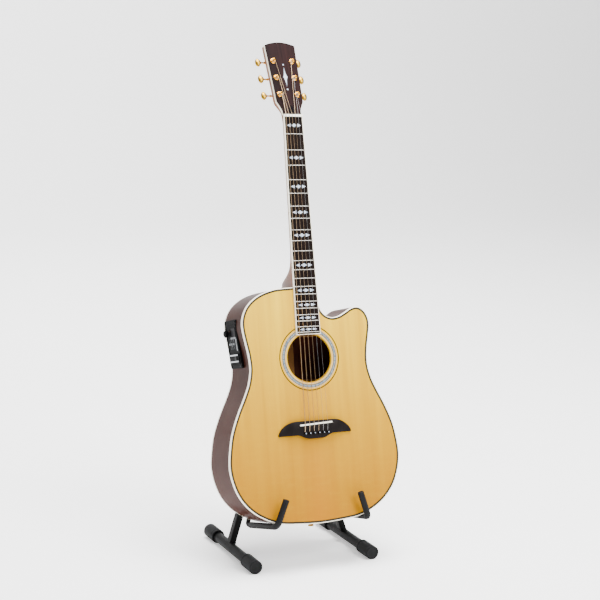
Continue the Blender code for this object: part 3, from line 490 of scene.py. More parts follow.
def slab(outline, low, high, rise=0.0, holes=()):
    """A flat plate, with holes, between two heights."""
    bm = bmesh.new()
    edges = []
    for loop in (outline, *holes):
        verts = [bm.verts.new((p[0], p[1], low + rise * p[1])) for p in loop]
        edges += [bm.edges.new((a, b)) for a, b in zip(verts, verts[1:] + verts[:1])]
    bmesh.ops.triangle_fill(bm, use_beauty=True, edges=edges)
    moved = bmesh.ops.extrude_face_region(bm, geom=list(bm.faces), use_keep_orig=True)
    verts = [item for item in moved["geom"] if isinstance(item, bmesh.types.BMVert)]
    bmesh.ops.translate(bm, verts=verts, vec=(0, 0, high - low))
    return bm


def circle(radius, sides, at=(0, 0)):
    return [Vector((at[0] + radius * cos(2 * pi * i / sides), at[1] + radius * sin(2 * pi * i / sides)))
            for i in range(sides)]


def annulus(inner, outer, low, high, at=(0, 0), sides=96, start=0.0, sweep=2 * pi):
    """A flat ring, or a part of one."""
    bm = bmesh.new()
    whole = sweep > 2 * pi - 0.001
    rows = []
    for i in range(sides + (0 if whole else 1)):
        angle = start + sweep * i / sides
        rows.append([bm.verts.new((at[0] + r * cos(angle), at[1] + r * sin(angle), z))
                     for r, z in ((inner, low), (outer, low), (outer, high), (inner, high))])
    for a, b in zip(rows, rows[1:] + (rows[:1] if whole else [])):
        for i in range(4):
            j = (i + 1) % 4
            bm.faces.new((a[i], a[j], b[j], b[i]))
    if not whole:
        bm.faces.new(rows[0])
        bm.faces.new(rows[-1])
    return bm


def lathe(profile, steps=48):
    """A profile of (radius, height) turned about local z."""
    bm = bmesh.new()
    rows = []
    for radius, height in profile:
        if radius < 1e-7:
            rows.append([bm.verts.new((0, 0, height))])
        else:
            rows.append([bm.verts.new((radius * cos(2 * pi * i / steps), radius * sin(2 * pi * i / steps), height))
                         for i in range(steps)])
    for a, b in zip(rows, rows[1:]):
        for i in range(steps):
            j = (i + 1) % steps
            if len(a) == 1 and len(b) > 1:
                bm.faces.new((a[0], b[i], b[j]))
            elif len(b) == 1 and len(a) > 1:
                bm.faces.new((a[i], a[j], b[0]))
            elif len(a) > 1:
                bm.faces.new((a[i], a[j], b[j], b[i]))
    return bm


def round_over(points, radius, steps=4):
    """Round the inner corners of an open profile."""
    line = [Vector(points[0])]
    for before, corner, after in zip(points, points[1:], points[2:]):
        before, corner, after = Vector(before), Vector(corner), Vector(after)
        reach = min(radius, (before - corner).length / 2, (after - corner).length / 2)
        start = corner + (before - corner).normalized() * reach
        end = corner + (after - corner).normalized() * reach
        for step in range(steps + 1):
            t = step / steps
            line.append(start * (1 - t) ** 2 + corner * 2 * t * (1 - t) + end * t * t)
    line.append(Vector(points[-1]))
    return line


def loft(rings):
    """A closed skin over rings of equal length, flat at both ends."""
    bm = bmesh.new()
    rows = [[bm.verts.new(point) for point in ring] for ring in rings]
    count = len(rows[0])
    for low, high in zip(rows, rows[1:]):
        for i in range(count):
            j = (i + 1) % count
            bm.faces.new((low[i], low[j], high[j], high[i]))
    bm.faces.new(rows[0])
    bm.faces.new(rows[-1])
    return bm


def block(low, high):
    bm = bmesh.new()
    middle = (Vector(low) + Vector(high)) / 2
    bmesh.ops.create_cube(bm, size=1, matrix=place(*middle) @ Matrix.Diagonal((*(Vector(high) - Vector(low)), 1)))
    return bm


def rounded_box_outline(half_x, half_y, radius, steps=6):
    """Anticlockwise rectangle with round corners."""
    line = []
    for cx, cy, start in ((1, 1, 0), (-1, 1, pi / 2), (-1, -1, pi), (1, -1, 3 * pi / 2)):
        for i in range(steps + 1):
            a = start + pi / 2 * i / steps
            line.append(Vector((cx * (half_x - radius) + radius * cos(a), cy * (half_y - radius) + radius * sin(a))))
    return line


def shifted(outline, x, y):
    return [Vector((p[0] + x, p[1] + y)) for p in outline]


def tube(name, points, radius, look, body, stands_for=(), radii=None, level=8):
    """A round bar along points; radii scale it at each point."""
    curve = bpy.data.curves.new(name, "CURVE")
    curve.dimensions = "3D"
    curve.bevel_depth = radius
    curve.bevel_resolution = level
    curve.use_fill_caps = True
    spline = curve.splines.new("POLY")
    spline.points.add(len(points) - 1)
    for i, (point, at) in enumerate(zip(spline.points, points)):
        point.co = (*at, 1)
        point.radius = radii[i] if radii else 1.0
    made = bpy.data.objects.new(name, curve)
    bpy.context.scene.collection.objects.link(made)
    return show(made, look, body, stands_for)


# ---------------------------------------------------------------- guitar body

def body_outline(steps=8):
    bass = [(-x, y) for x, y in reversed(LOWER_BOUT + BASS_SHOULDER)]
    return smooth_line(bass + (LOWER_BOUT + TREBLE_SHOULDER)[1:], steps)


OUTLINE = body_outline()
BINDING_WIDE, BINDING_DEEP = 0.0015, 0.0054
PURFLING_WIDE = 0.0040


def body():
    """Plates, rims, bindings and purfling."""
    hole = circle(HOLE_RADIUS, 128, (0, HOLE_Y))
    field = inset(OUTLINE, BINDING_WIDE + PURFLING_WIDE)
    top = slab(field, -PLATE, 0.0, holes=(hole,))
    piece("top_plate", top, GUITAR, SPRUCE, "guitar", ("soundboard",), bevel=0.0003)
    # The underside of the top, in raw wood darkened as painted shade.
    under = slab(inset(OUTLINE, 0.0008), -PLATE - 0.0002, -PLATE + 0.0006, holes=(hole,))
    piece("top_underside", under, GUITAR, RAW_PAINTED_SHADE, "guitar")
    ring = [(BINDING_WIDE, -0.0012), (BINDING_WIDE, 0.00012), (BINDING_WIDE + PURFLING_WIDE, 0.00012),
            (BINDING_WIDE + PURFLING_WIDE, -0.0012)]
    piece("top_purfling", band(OUTLINE, ring), GUITAR, PURFLING, "guitar")
    soft = 0.0005
    edge = [(-0.0001, -BINDING_DEEP), (-0.0001, -soft), (soft * 0.3, -soft * 0.3), (soft, 0.0002),
            (BINDING_WIDE, 0.0002), (BINDING_WIDE, -BINDING_DEEP)]
    piece("top_binding", band(OUTLINE, edge), GUITAR, IVORY, "guitar", sharp=60)
    line = [(-0.00005, -BINDING_DEEP - 0.0007), (-0.00005, -BINDING_DEEP), (0.0012, -BINDING_DEEP),
            (0.0012, -BINDING_DEEP - 0.0007)]
    piece("top_side_line", band(OUTLINE, line), GUITAR, PURFLING, "guitar")

    back = -BODY_DEPTH
    low, high = back + BINDING_DEEP, -BINDING_DEEP
    bm = bmesh.new()
    loops = []
    for distance, z, rise in ((0, low, BACK_RISE), (0, high, 0), (0.0025, high, 0), (0.0025, low, BACK_RISE)):
        loops.append([bm.verts.new((p.x, p.y, z + rise * p.y)) for p in inset(OUTLINE, distance)])
    for a, b in zip(loops, loops[1:] + loops[:1]):
        for i in range(len(a)):
            j = (i + 1) % len(a)
            bm.faces.new((a[i], a[j], b[j], b[i]))
    rims = piece("bent_rims", bm, GUITAR, RIM_WOOD, "guitar", ("sides",))
    half_x, half_y = POCKET_HALF[0] + POCKET_WALL, POCKET_HALF[1] + POCKET_WALL
    carve(rims, block((BATTERY_X - half_x, -half_y, -0.010), (BATTERY_X + half_x, half_y, 0.010)), PREAMP)
    edge = [(-0.0001, low), (-0.0001, back + soft), (soft * 0.3, back + soft * 0.3), (soft, back - 0.0002),
            (BINDING_WIDE, back - 0.0002), (BINDING_WIDE, low)]
    piece("back_binding", band(OUTLINE, edge, BACK_RISE), GUITAR, IVORY, "guitar", sharp=60)
    ring = [(BINDING_WIDE, back + 0.0012), (BINDING_WIDE, back), (BINDING_WIDE + 0.0010, back),
            (BINDING_WIDE + 0.0010, back + 0.0012)]
    piece("back_purfling", band(OUTLINE, ring, BACK_RISE), GUITAR, PURFLING, "guitar")
    plate = slab(inset(OUTLINE, BINDING_WIDE + 0.0010), back, back + PLATE, BACK_RISE)
    piece("back_panel", plate, GUITAR, MAHOGANY, "guitar", ("back_plate",), bevel=0.0002)
    for name, half, lift, look in (("back_strip_edge", 0.0032, 0.00008, IVORY), ("back_strip", 0.0024, 0.00014, PURFLING)):
        strip = [Vector((-half, 0.004)), Vector((half, 0.004)), Vector((half, BODY_TOP - 0.004)),
                 Vector((-half, BODY_TOP - 0.004))]
        piece(name, slab(strip, back - lift, back + 0.0005, BACK_RISE), GUITAR, look, "guitar")
    for name, half, proud, look in (("tail_wedge_edge", 0.0085, 0.00012, IVORY), ("tail_wedge", 0.0073, 0.0002, PURFLING)):
        wedge = block((-half, -proud, -BODY_DEPTH + BINDING_DEEP), (half, 0.0010, -BINDING_DEEP))
        piece(name, wedge, GUITAR, look, "guitar")


def rosette():
    """Two plain rings, and a shell ring between thin ivory and black lines, round the hole."""
    at = (0, HOLE_Y)
    rings = (("hole_line", 0.0501, 0.0511, EBONY), ("inner_cream", 0.0534, 0.0563, CREAM),
             ("inner_line", 0.0563, 0.0571, EBONY), ("shell_bed", 0.0571, 0.0622, GLOSS_BLACK),
             ("outer_line", 0.0622, 0.0628, EBONY), ("outer_cream", 0.0628, 0.0648, CREAM),
             ("far_line", 0.0673, 0.0693, EBONY))
    for name, inner, outer, look in rings:
        piece("rosette_" + name, annulus(inner, outer, -0.0005, 0.0001, at, 128), GUITAR, look, "guitar")
    count = 40
    gap = 0.010
    for i in range(count):
        start = 2 * pi * i / count
        tile = annulus(0.0574, 0.0619, -0.0005, 0.00018, at, 6, start + gap / 2, 2 * pi / count - gap)
        piece(f"rosette_tile_{i + 1}", tile, GUITAR, ABALONE, "guitar")


def bridge():
    """Belly bridge with thinned wings, pins with pearl dots, and its saddle."""
    half = 0.084

    def low_edge(x):
        x = abs(x)
        if x > 0.042:
            return 0.187
        return 0.1782 + 0.0088 * (0.5 - 0.5 * cos(pi * max(x - 0.014, 0) / 0.028)) if x > 0.014 else 0.1782

    def high_edge(x):
        x = abs(x)
        along = max(x - 0.040, 0) / (half - 0.040)
        return 0.1875 + 0.0285 * (1 - 0.985 * along ** 2) ** 0.6

    def height(x):
        x = abs(x)
        if x < 0.046:
            return BRIDGE_TOP
        return BRIDGE_TOP - 0.0048 * (0.5 - 0.5 * cos(pi * min((x - 0.046) / 0.026, 1)))

    rings = []
    steps = 84
    for i in range(steps + 1):
        x = half * (2 * i / steps - 1)
        low, high, top = low_edge(x), high_edge(x), height(x)
        soft = 0.0012
        rings.append([Vector((x, low, 0.0001)), Vector((x, low, top - soft)), Vector((x, low + soft * 0.3, top - soft * 0.3)),
                      Vector((x, low + soft, top)), Vector((x, high - soft, top)),
                      Vector((x, high - soft * 0.3, top - soft * 0.3)), Vector((x, high, top - soft)),
                      Vector((x, high, 0.0001))])
    piece("bridge_carved", loft(rings), GUITAR, BRIDGE_WOOD, "guitar", ("bridge",), sharp=50)
    show(NODES["saddle"], BONE, "guitar", bevel=0.0007)
    profile = [(0.0, 0.0058), (0.0012, 0.0057), (0.0021, 0.0051), (0.0026, 0.0041), (0.0027, 0.0030), (0.0024, 0.0020),
               (0.0026, 0.0012), (0.0026, 0.0)]
    dot = [(0.0, 0.00615), (0.0007, 0.0061), (0.0011, 0.0056)]
    for i in range(6):
        at = GUITAR @ place((i - 2.5) * SADDLE_SPACING, PIN_ROW_Y - 0.003, BRIDGE_TOP - 0.0002)
        piece(f"bridge_pin_{i + 1}", lathe(profile, 24), at, GLOSS_BLACK, "guitar")
        piece(f"bridge_pin_dot_{i + 1}", lathe(dot, 20), at, PEARL, "guitar")


# ---------------------------------------------------------------- neck and headstock

def board_half(y):
    return NUT_HALF + (NUT_Y - y) * BOARD_FLARE


def head_half(up):
    if up < HEAD_LOW:
        ease = (1 - cos(pi * max(up - 0.004, 0) / (HEAD_LOW - 0.004) / 1.35)) / 1.69
        return NUT_HALF + (HEAD_LOW_HALF - NUT_HALF) * ease
    if up < HEAD_CORNER:
        return HEAD_LOW_HALF + (HEAD_HIGH_HALF - HEAD_LOW_HALF) * (up - HEAD_LOW) / (HEAD_CORNER - HEAD_LOW)
    return HEAD_HIGH_HALF * max((HEAD_END - up) / (HEAD_END - HEAD_CORNER), 0.0) ** 0.5


def head_outline():
    ups = [0.0006 + (HEAD_LOW - 0.0006) * i / 14 for i in range(15)]
    ups += [HEAD_LOW + (HEAD_CORNER - HEAD_LOW) * i / 12 for i in range(1, 13)]
    right = [Vector((head_half(up), up)) for up in ups]
    turns = [i / 18 for i in range(17, -18, -1)]
    crown = [Vector((HEAD_HIGH_HALF * t, HEAD_END - (HEAD_END - HEAD_CORNER) * t * t)) for t in turns]
    return right + crown + [Vector((-p.x, p.y)) for p in reversed(right)]


def neck():
    """Heel, shaft and headstock as one carved skin."""
    heel = [(BODY_TOP + 0.0003, 0.088, 0.72), (0.506, 0.0872, 0.72), (0.512, 0.0845, 0.73), (0.518, 0.0735, 0.75),
            (0.5245, 0.059, 0.78), (0.532, 0.0450, 0.82), (0.541, 0.0335, 0.86), (0.552, 0.0258, 0.90),
            (0.566, 0.0208, 0.94), (0.585, 0.0184, 0.95), (0.620, 0.0176, 0.95), (0.700, 0.0167, 0.95),
            (0.800, 0.0156, 0.95), (0.845, 0.0150, 0.95)]
    stations = [Vector(entry) for entry in heel]
    line = smooth_line(stations, 5)
    rings = [section(place(0, y, 0), board_half(y) - 0.0001, depth, full) for y, depth, full in line]
    head = [(0.0, 0.0153, 0.85), (0.006, 0.0149, 0.62), (0.012, 0.0145, 0.40), (0.018, HEAD_THICK, 0.22),
            (0.025, HEAD_THICK, 0.12), (HEAD_LOW, HEAD_THICK, 0.07)]
    for up, depth, full in smooth_line([Vector(entry) for entry in head], 4):
        rings.append(head_ring(up, head_half(up) - 0.0001, depth, full))
    for i in range(1, 7):
        up = HEAD_LOW + (HEAD_CORNER - HEAD_LOW) * i / 6
        rings.append(head_ring(up, head_half(up) - 0.0001, HEAD_THICK, 0.07))
    for i in range(1, 12):
        t = 1 - (i / 11.2) ** 1.6
        up = HEAD_END - (HEAD_END - HEAD_CORNER) * t * t
        rings.append(head_ring(up, HEAD_HIGH_HALF * max(t, 0.02), HEAD_THICK, 0.07))
    lean = turn(NECK_LEAN, "X")
    leaned = [[lean.inverted() @ point for point in ring] for ring in rings]
    piece("neck_carved", loft(leaned), GUITAR @ lean, NECK_WOOD, "guitar", ("neck",), sharp=50)
    cap = [Vector((x, z)) for x, z in ((-0.0165, 0.0), (-0.0120, 0.0075), (0.0, 0.0115), (0.0120, 0.0075), (0.0165, 0.0))]
    cap = smooth_line(cap, 5)
    piece("heel_cap", slab([Vector((-p.x, p.y)) for p in cap], -0.0012, 0.0004), GUITAR @ place(0, BODY_TOP + 0.0005, -0.0882),
          IVORY, "guitar", bevel=0.0003)


def head_ring(up, half, depth, fullness):
    """A ring across the headstock, under its ivory layer."""
    under = place(0, HEAD_Y, 0) @ turn(-HEAD_ANGLE, "X") @ place(0, up, -HEAD_EDGE)
    return section(under, half, depth - HEAD_EDGE, fullness)


def section(matrix, half, depth, fullness, count=40):
    """A flat-topped ring, half an ellipse at fullness 1 and nearly a rectangle near 0."""
    ring = []
    for i in range(count + 1):
        angle = pi * i / count
        across = abs(cos(angle)) ** fullness * (1 if angle < pi / 2 else -1)
        ring.append(matrix @ Vector((half * across, 0, -depth * abs(sin(angle)) ** fullness)))
    return ring


def headstock():
    """Ivory-edged rosewood face with a plain geometric ornament, the rod cover and the nut."""
    outline = head_outline()
    piece("head_edge", slab(outline, -HEAD_EDGE, 0.0007), HEAD, IVORY, "guitar", bevel=0.0003)
    piece("head_face", slab(inset(outline, 0.0005), 0.0004, 0.0021), HEAD, ROSEWOOD, "guitar", ("headplate",),
          bevel=0.0003)
    low, high = 0.0015, 0.00225
    middle = 0.0870
    leaf = [Vector((0.0052 * cos(a) ** 3, middle + 0.0235 * sin(a) ** 3)) for a in (2 * pi * i / 48 for i in range(48))]
    piece("ornament_star", slab(leaf, low, high), HEAD, PEARL, "guitar")
    for name, up in (("upper", middle + 0.0290), ("lower", middle - 0.0290)):
        piece(f"ornament_{name}_dot", slab(circle(0.0017, 24, (0, up)), low, high), HEAD, PEARL, "guitar")
    cover = [Vector((x, y)) for x, y in ((-0.0065, 0.0035), (0.0065, 0.0035), (0.0045, 0.0165), (0.0, 0.0205), (-0.0045, 0.0165))]
    piece("rod_cover", slab(cover, 0.0018, 0.0031), HEAD, GLOSS_BLACK, "guitar", bevel=0.0004)
    show(NODES["nut"], BONE, "guitar", bevel=0.0009)


def fingerboard():
    """Arched ebony board with ivory edges, frets, pearl marks and side dots."""
    edge = 0.0015
    arch = 0.0007

    def ring(y, wide, low, high):
        points = [Vector((wide, y, low))]
        for i in range(13):
            t = 1 - i / 6
            points.append(Vector((wide * t, y, high - arch * t * t)))
        points.append(Vector((-wide, y, low)))
        return points

    top = BOARD_TOP + 0.0002
    rings = [ring(y, board_half(y) - edge, BOARD_BOTTOM, top)
             for y in [BOARD_LOW_Y + edge + (NUT_Y - BOARD_LOW_Y - edge) * i / 20 for i in range(21)]]
    piece("board_arched", loft(rings), GUITAR, EBONY, "guitar", ("fingerboard",), sharp=30)
    for side, name in ((-1, "bass"), (1, "treble")):
        outer = [Vector((side * board_half(y), y)) for y in (BOARD_LOW_Y, NUT_Y)]
        inner = [Vector((side * (board_half(y) - edge), y)) for y in (NUT_Y, BOARD_LOW_Y)]
        piece(f"board_edge_{name}", slab(outer + inner, BOARD_BOTTOM, top - arch), GUITAR, IVORY, "guitar", bevel=0.0003)
    end = board_half(BOARD_LOW_Y) - edge
    piece("board_edge_end", block((-end, BOARD_LOW_Y, BOARD_BOTTOM), (end, BOARD_LOW_Y + edge, top - 0.0002)), GUITAR,
          IVORY, "guitar", bevel=0.0003)
    for fret in range(1, 22):
        y = NUT_Y - SCALE * (1 - 2 ** (-fret / 12))
        half = board_half(y) - 0.0004
        rings = []
        for i in range(13):
            t = 1 - i / 6
            rise = top - arch * t * t
            fade = 1.0 if abs(t) < 0.99 else 0.35
            rings.append([Vector((half * t, y + 0.0009 * cos(a), rise - 0.0003 + 0.0013 * sin(a) * fade))
                          for a in (pi * k / 8 for k in range(9))])
        piece(f"fret_{fret}", loft(rings), GUITAR, NICKEL, "guitar", sharp=50)
    for fret in (1, 3, 5, 7, 9, 12, 15, 17, 19, 21):
        inlay(fret, top)
    for fret in (3, 5, 7, 9, 12, 15, 17, 19):
        y = fret_middle(fret)
        for offset in ((-0.004, 0.004) if fret == 12 else (0.0,)):
            at = GUITAR @ place(-board_half(y) - 0.00005, y + offset, 0.0034) @ turn(-pi / 2, "Y")
            piece(f"side_dot_{fret}_{'b' if offset > 0 else 'a'}", lathe([(0.0, 0.0001), (0.0009, 0.0001), (0.0009, -0.0005)], 16),
                  at, GLOSS_BLACK, "guitar")


def fret_middle(fret):
    return NUT_Y - SCALE * (1 - (2 ** (-fret / 12) + 2 ** (-(fret - 1) / 12)) / 2)


def inlay(fret, top):
    """A diamond between two triangles, narrower up the neck."""
    y = fret_middle(fret)
    room = SCALE * (2 ** (-(fret - 1) / 12) - 2 ** (-fret / 12))
    tall = min(room * 0.22, 0.0038)
    wide = board_half(y)
    shapes = {"diamond": [(-wide * 0.27, y), (0, y - tall), (wide * 0.27, y), (0, y + tall)],
              "left": [(-wide * 0.73, y), (-wide * 0.37, y - tall), (-wide * 0.37, y + tall)],
              "right": [(wide * 0.73, y), (wide * 0.37, y + tall), (wide * 0.37, y - tall)]}
    for name, shape in shapes.items():
        lift = 0.00012 if name == "diamond" else -0.00008
        piece(f"inlay_{fret}_{name}", slab([Vector(p) for p in shape], top - 0.0012, top + lift), GUITAR, PEARL, "guitar")


def tuners():
    """Posts, bushings and windings on the face; knobs and gear covers behind."""
    post = round_over([(0.0, 0.0100), (0.0033, 0.0100), (0.0035, 0.0078), (0.0026, 0.0068), (0.0025, 0.0044), (0.0032, 0.0034),
                       (0.0032, -0.0190), (0.0, -0.0190)], 0.0007)
    bushing = round_over([(0.0034, 0.0042), (0.0045, 0.0042), (0.0048, 0.0032), (0.0060, 0.0030), (0.0063, 0.0020),
                          (0.0034, 0.0020), (0.0034, 0.0042)], 0.0004)
    for i in range(6):
        side, row = (-1, i) if i < 3 else (1, 5 - i)
        name = i + 1
        at = HEAD @ place(side * POST_OUT[row], POST_UP[row], 0)
        piece(f"post_turned_{name}", lathe(post, 32), at, GOLD, f"post_{name}", (f"tuner_post_{name}",))
        piece(f"bushing_{name}", lathe(bushing, 36), at, GOLD, "guitar")
        wire = STRING_RADII[i]
        coils = 3 if i < 3 else 4
        helix = []
        for k in range(coils * 16 + 1):
            angle = 2 * pi * k / 16 * -side
            helix.append(at @ Vector((-side * (0.0027 + wire) * cos(angle), (0.0027 + wire) * sin(angle),
                                      0.0063 - 2.05 * wire * k / 16)))
        tube(f"string_coil_{name}", helix, wire, BRONZE if i < 4 else STEEL, f"post_{name}", level=3)
        knob = HEAD @ place(0, POST_UP[row] + SHAFT_UP, SHAFT_Z) @ turn(side * pi / 2, "Y")
        shaft = round_over([(0.0, 0.0150), (0.0019, 0.0150), (0.0019, 0.0302), (0.0028, 0.0304), (0.0028, 0.0328),
                            (0.0018, 0.0338), (0.0015, 0.0380), (0.0024, 0.0412), (0.0, 0.0430)], 0.0004)
        piece(f"knob_shaft_{name}", lathe(shaft, 24), knob, GOLD, f"knob_{name}")
        piece(f"knob_button_{name}", button(), knob, GOLD_SATIN, f"knob_{name}", (f"tuner_knob_{name}",), sharp=80)
    for side, name in ((-1, "bass"), (1, "treble")):
        strip = shifted(rounded_box_outline(COVER_HALF, 0.0530, 0.0020), side * COVER_MIDDLE, 0.0870)
        piece(name + "_tuner_strip", slab(strip, -HEAD_THICK - 0.0014, -HEAD_THICK), HEAD, GOLD, "guitar",
              (name + "_tuner_plate",), bevel=0.0003)
        for row, up in enumerate(POST_UP):
            cover = shifted(rounded_box_outline(COVER_HALF - 0.0004, 0.0080, 0.0024), side * COVER_MIDDLE, up + 0.0022)
            low = SHAFT_Z - 0.0044
            piece(f"{name}_gear_cover_{row + 1}", slab(cover, low, -HEAD_THICK - 0.0010), HEAD, GOLD, "guitar",
                  bevel=0.0012)
            screw = HEAD @ place(side * COVER_MIDDLE, up - 0.0080, -HEAD_THICK - 0.0012) @ turn(pi, "X")
            head = round_over([(0.0, 0.0010), (0.0012, 0.0010), (0.0019, 0.0003), (0.0019, 0.0), (0.0, 0.0)], 0.0003)
            piece(f"{name}_cover_screw_{row + 1}", lathe(head, 20), screw, GOLD, "guitar")


def button():
    """A kidney-shaped button, pinched where the shaft enters it."""
    bm = bmesh.new()
    bmesh.ops.create_uvsphere(bm, u_segments=40, v_segments=24, radius=1)
    for vertex in bm.verts:
        out = vertex.co.z
        pinch = 1 - 0.45 * max(-out, 0) ** 1.2
        thick = 0.0042 * (1 - 0.12 * abs(vertex.co.y) ** 2)
        vertex.co = Vector((vertex.co.x * thick, vertex.co.y * 0.0096 * pinch, KNOB_OUT + out * 0.0068))
    return bm


# ---------------------------------------------------------------- preamp

def preamp():
    """Black unit on the bass rim: raised frame, window, finned sliders, battery drawer and knob."""
    half_x, half_y = BEZEL_HALF
    frame_outline = rounded_box_outline(half_x, half_y, 0.005)
    slots = [shifted(rounded_box_outline(0.0105, 0.0010, 0.0009), SLIDER_X, y) for y in SLIDER_ROWS]
    mouth = shifted(rounded_box_outline(*POCKET_HALF, 0.0004), BATTERY_X, 0)
    piece("preamp_bezel", slab(frame_outline, -0.0015, BEZEL_TOP - 0.0012, holes=(mouth, *slots)), PREAMP, PLASTIC,
          "guitar", ("preamp_case",), bevel=0.0004)
    outer = shifted(rounded_box_outline(POCKET_HALF[0] + POCKET_WALL, POCKET_HALF[1] + POCKET_WALL, 0.0016), BATTERY_X, 0)
    floor = -BATTERY_DEPTH - 0.0004
    piece("preamp_pocket", slab(outer, floor, -0.0015, holes=(mouth,)), PREAMP, PLASTIC, "guitar")
    piece("preamp_pocket_floor", slab(outer, floor - POCKET_WALL, floor), PREAMP, PLASTIC, "guitar", bevel=0.0004)
    raised = BEZEL_TOP
    rim = slab(rounded_box_outline(0.0415, half_y - 0.002, 0.004), 0.0025, raised,
               holes=(rounded_box_outline(0.0385, half_y - 0.0045, 0.003),))
    piece("preamp_rim", rim, PREAMP, PLASTIC, "guitar", bevel=0.0005)
    piece("preamp_window", slab(shifted(rounded_box_outline(0.0085, 0.0120, 0.0015), 0.025, -0.010), 0.0030, raised - 0.0003),
          PREAMP, GLOSS_BLACK, "guitar", bevel=0.0004)
    piece("preamp_window_frame", slab(shifted(rounded_box_outline(0.0100, 0.0135, 0.002), 0.025, -0.010), 0.0025, raised + 0.0002,
          holes=(shifted(rounded_box_outline(0.0085, 0.0120, 0.0015), 0.025, -0.010),)), PREAMP, PLASTIC, "guitar", bevel=0.0003)
    piece("preamp_light_bar", slab(shifted(rounded_box_outline(0.0022, 0.0135, 0.001), 0.0133, -0.008), 0.0025, raised + 0.0003),
          PREAMP, GREY, "guitar", bevel=0.0004)
    piece("preamp_side_trim", slab(shifted(rounded_box_outline(0.0125, 0.0012, 0.0008), -0.001, -0.0205), 0.0025, raised + 0.0002),
          PREAMP, SILVER, "guitar", bevel=0.0003)
    fins = bmesh.new()
    ends = [-0.0165] + [y + side * 0.0021 for y in SLIDER_ROWS for side in (-1, 1)] + [0.0125]
    for i in range(11):
        for low, high in zip(ends[::2], ends[1::2]):
            middle = place(SLIDER_X - 0.0105 + 0.0021 * i, (low + high) / 2, 0.0035)
            bmesh.ops.create_cube(fins, size=1, matrix=middle @ Matrix.Diagonal((0.0008, high - low, 0.0010, 1)))
    piece("preamp_fins", fins, PREAMP, GREY, "guitar", bevel=0.0002)
    for name, y in zip(("bass", "middle", "treble"), SLIDER_ROWS):
        edge = shifted(rounded_box_outline(0.0115, 0.0017, 0.0015), SLIDER_X, y)
        slot = shifted(rounded_box_outline(0.0106, 0.0011, 0.0009), SLIDER_X, y)
        piece(f"preamp_{name}_track", slab(edge, 0.0030, raised - 0.0004, holes=(slot,)), PREAMP, GLOSS_BLACK, "guitar")
        show(NODES[f"preamp_{name}_slider"], GREY, f"{name}_slider", bevel=0.0005)
    show(NODES["preamp_battery_holder"], PLASTIC, "battery_holder", bevel=0.0008)
    top = BEZEL_TOP + 0.0010
    for name, x in (("upper", BATTERY_X + 0.0083), ("lower", BATTERY_X - 0.0052)):
        bar = slab(shifted(rounded_box_outline(0.0014, 0.0215, 0.0010), x, 0), top - 0.0004, top + 0.0010)
        piece(f"battery_{name}_bar", bar, PREAMP, SILVER, "battery_holder", bevel=0.0004)
    latch = slab(shifted(rounded_box_outline(0.0036, 0.0050, 0.0016), BATTERY_X + 0.0015, -0.009), top - 0.0004, top + 0.0012)
    piece("battery_latch", latch, PREAMP, GLOSS_BLACK, "battery_holder", bevel=0.0005)
    bore = round_over([(0.0, 0.0120), (0.0066, 0.0120), (0.0075, 0.0106), (0.0076, 0.0050), (0.0, 0.0050)], 0.0008)
    bm = lathe(bore, 60)
    for vertex in bm.verts:
        angle = atan2(vertex.co.y, vertex.co.x)
        if vertex.co.z < 0.0108 and vertex.co.xy.length > 0.006:
            vertex.co.xy *= 1 - 0.03 * (0.5 + 0.5 * cos(20 * angle))
    at = PREAMP @ place(*VOLUME_AT, 0)
    piece("volume_knob_knurled", bm, at, PLASTIC, "volume_knob", ("preamp_volume_knob",), sharp=30)
    piece("volume_mark", block((0.0030, -0.0004, 0.0118), (0.0068, 0.0004, 0.0122)), at, GREY, "volume_knob", bevel=0.0002)
    screw = round_over([(0.0, 0.0012), (0.0016, 0.0012), (0.0024, 0.0004), (0.0024, 0.0), (0.0, 0.0)], 0.0004)
    for i, (x, y) in enumerate(((-0.0465, -0.0265), (-0.0465, 0.0265), (0.0465, -0.0265), (0.0465, 0.0265))):
        at = PREAMP @ place(x, y, BEZEL_TOP - 0.0012)
        piece(f"preamp_screw_{i + 1}", lathe(screw, 24), at, PAINT, "guitar")
        for k in range(2):
            piece(f"preamp_screw_slot_{i + 1}_{'ab'[k]}", block((-0.0013, -0.0002, 0.0009), (0.0013, 0.0002, 0.0013)),
                  at @ turn(pi / 4 + pi / 2 * k, "Z"), GLOSS_BLACK, "guitar")


# ---------------------------------------------------------------- stand

def leg_frame(side):
    """A leg: x across it, y to the rear, z up it, from its pivot."""
    name = "left" if side < 0 else "right"
    pivot = Vector(JOINTS[name + "_leg_fold"]["pos_m"])
    low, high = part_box(name + "_foot_tube")
    foot_x, foot_z = (low[0] + high[0]) / 2, (low[2] + high[2]) / 2
    splay = atan2(abs(foot_x - pivot.x), (pivot.z - foot_z) / cos(STAND_TILT))
    length = (pivot.z - foot_z) / cos(STAND_TILT) / cos(splay)
    return place(*pivot) @ turn(-STAND_TILT, "X") @ turn(-side * splay, "Y"), length


def rounded_route(corners, bend, steps=10):
    points = [Vector(corners[0])]
    for before, corner, after in zip(corners, corners[1:], corners[2:]):
        start = corner + (before - corner).normalized() * bend
        end = corner + (after - corner).normalized() * bend
        for step in range(steps + 1):
            t = step / steps
            points.append(start * (1 - t) ** 2 + corner * 2 * t * (1 - t) + end * t * t)
    points.append(Vector(corners[-1]))
    return points


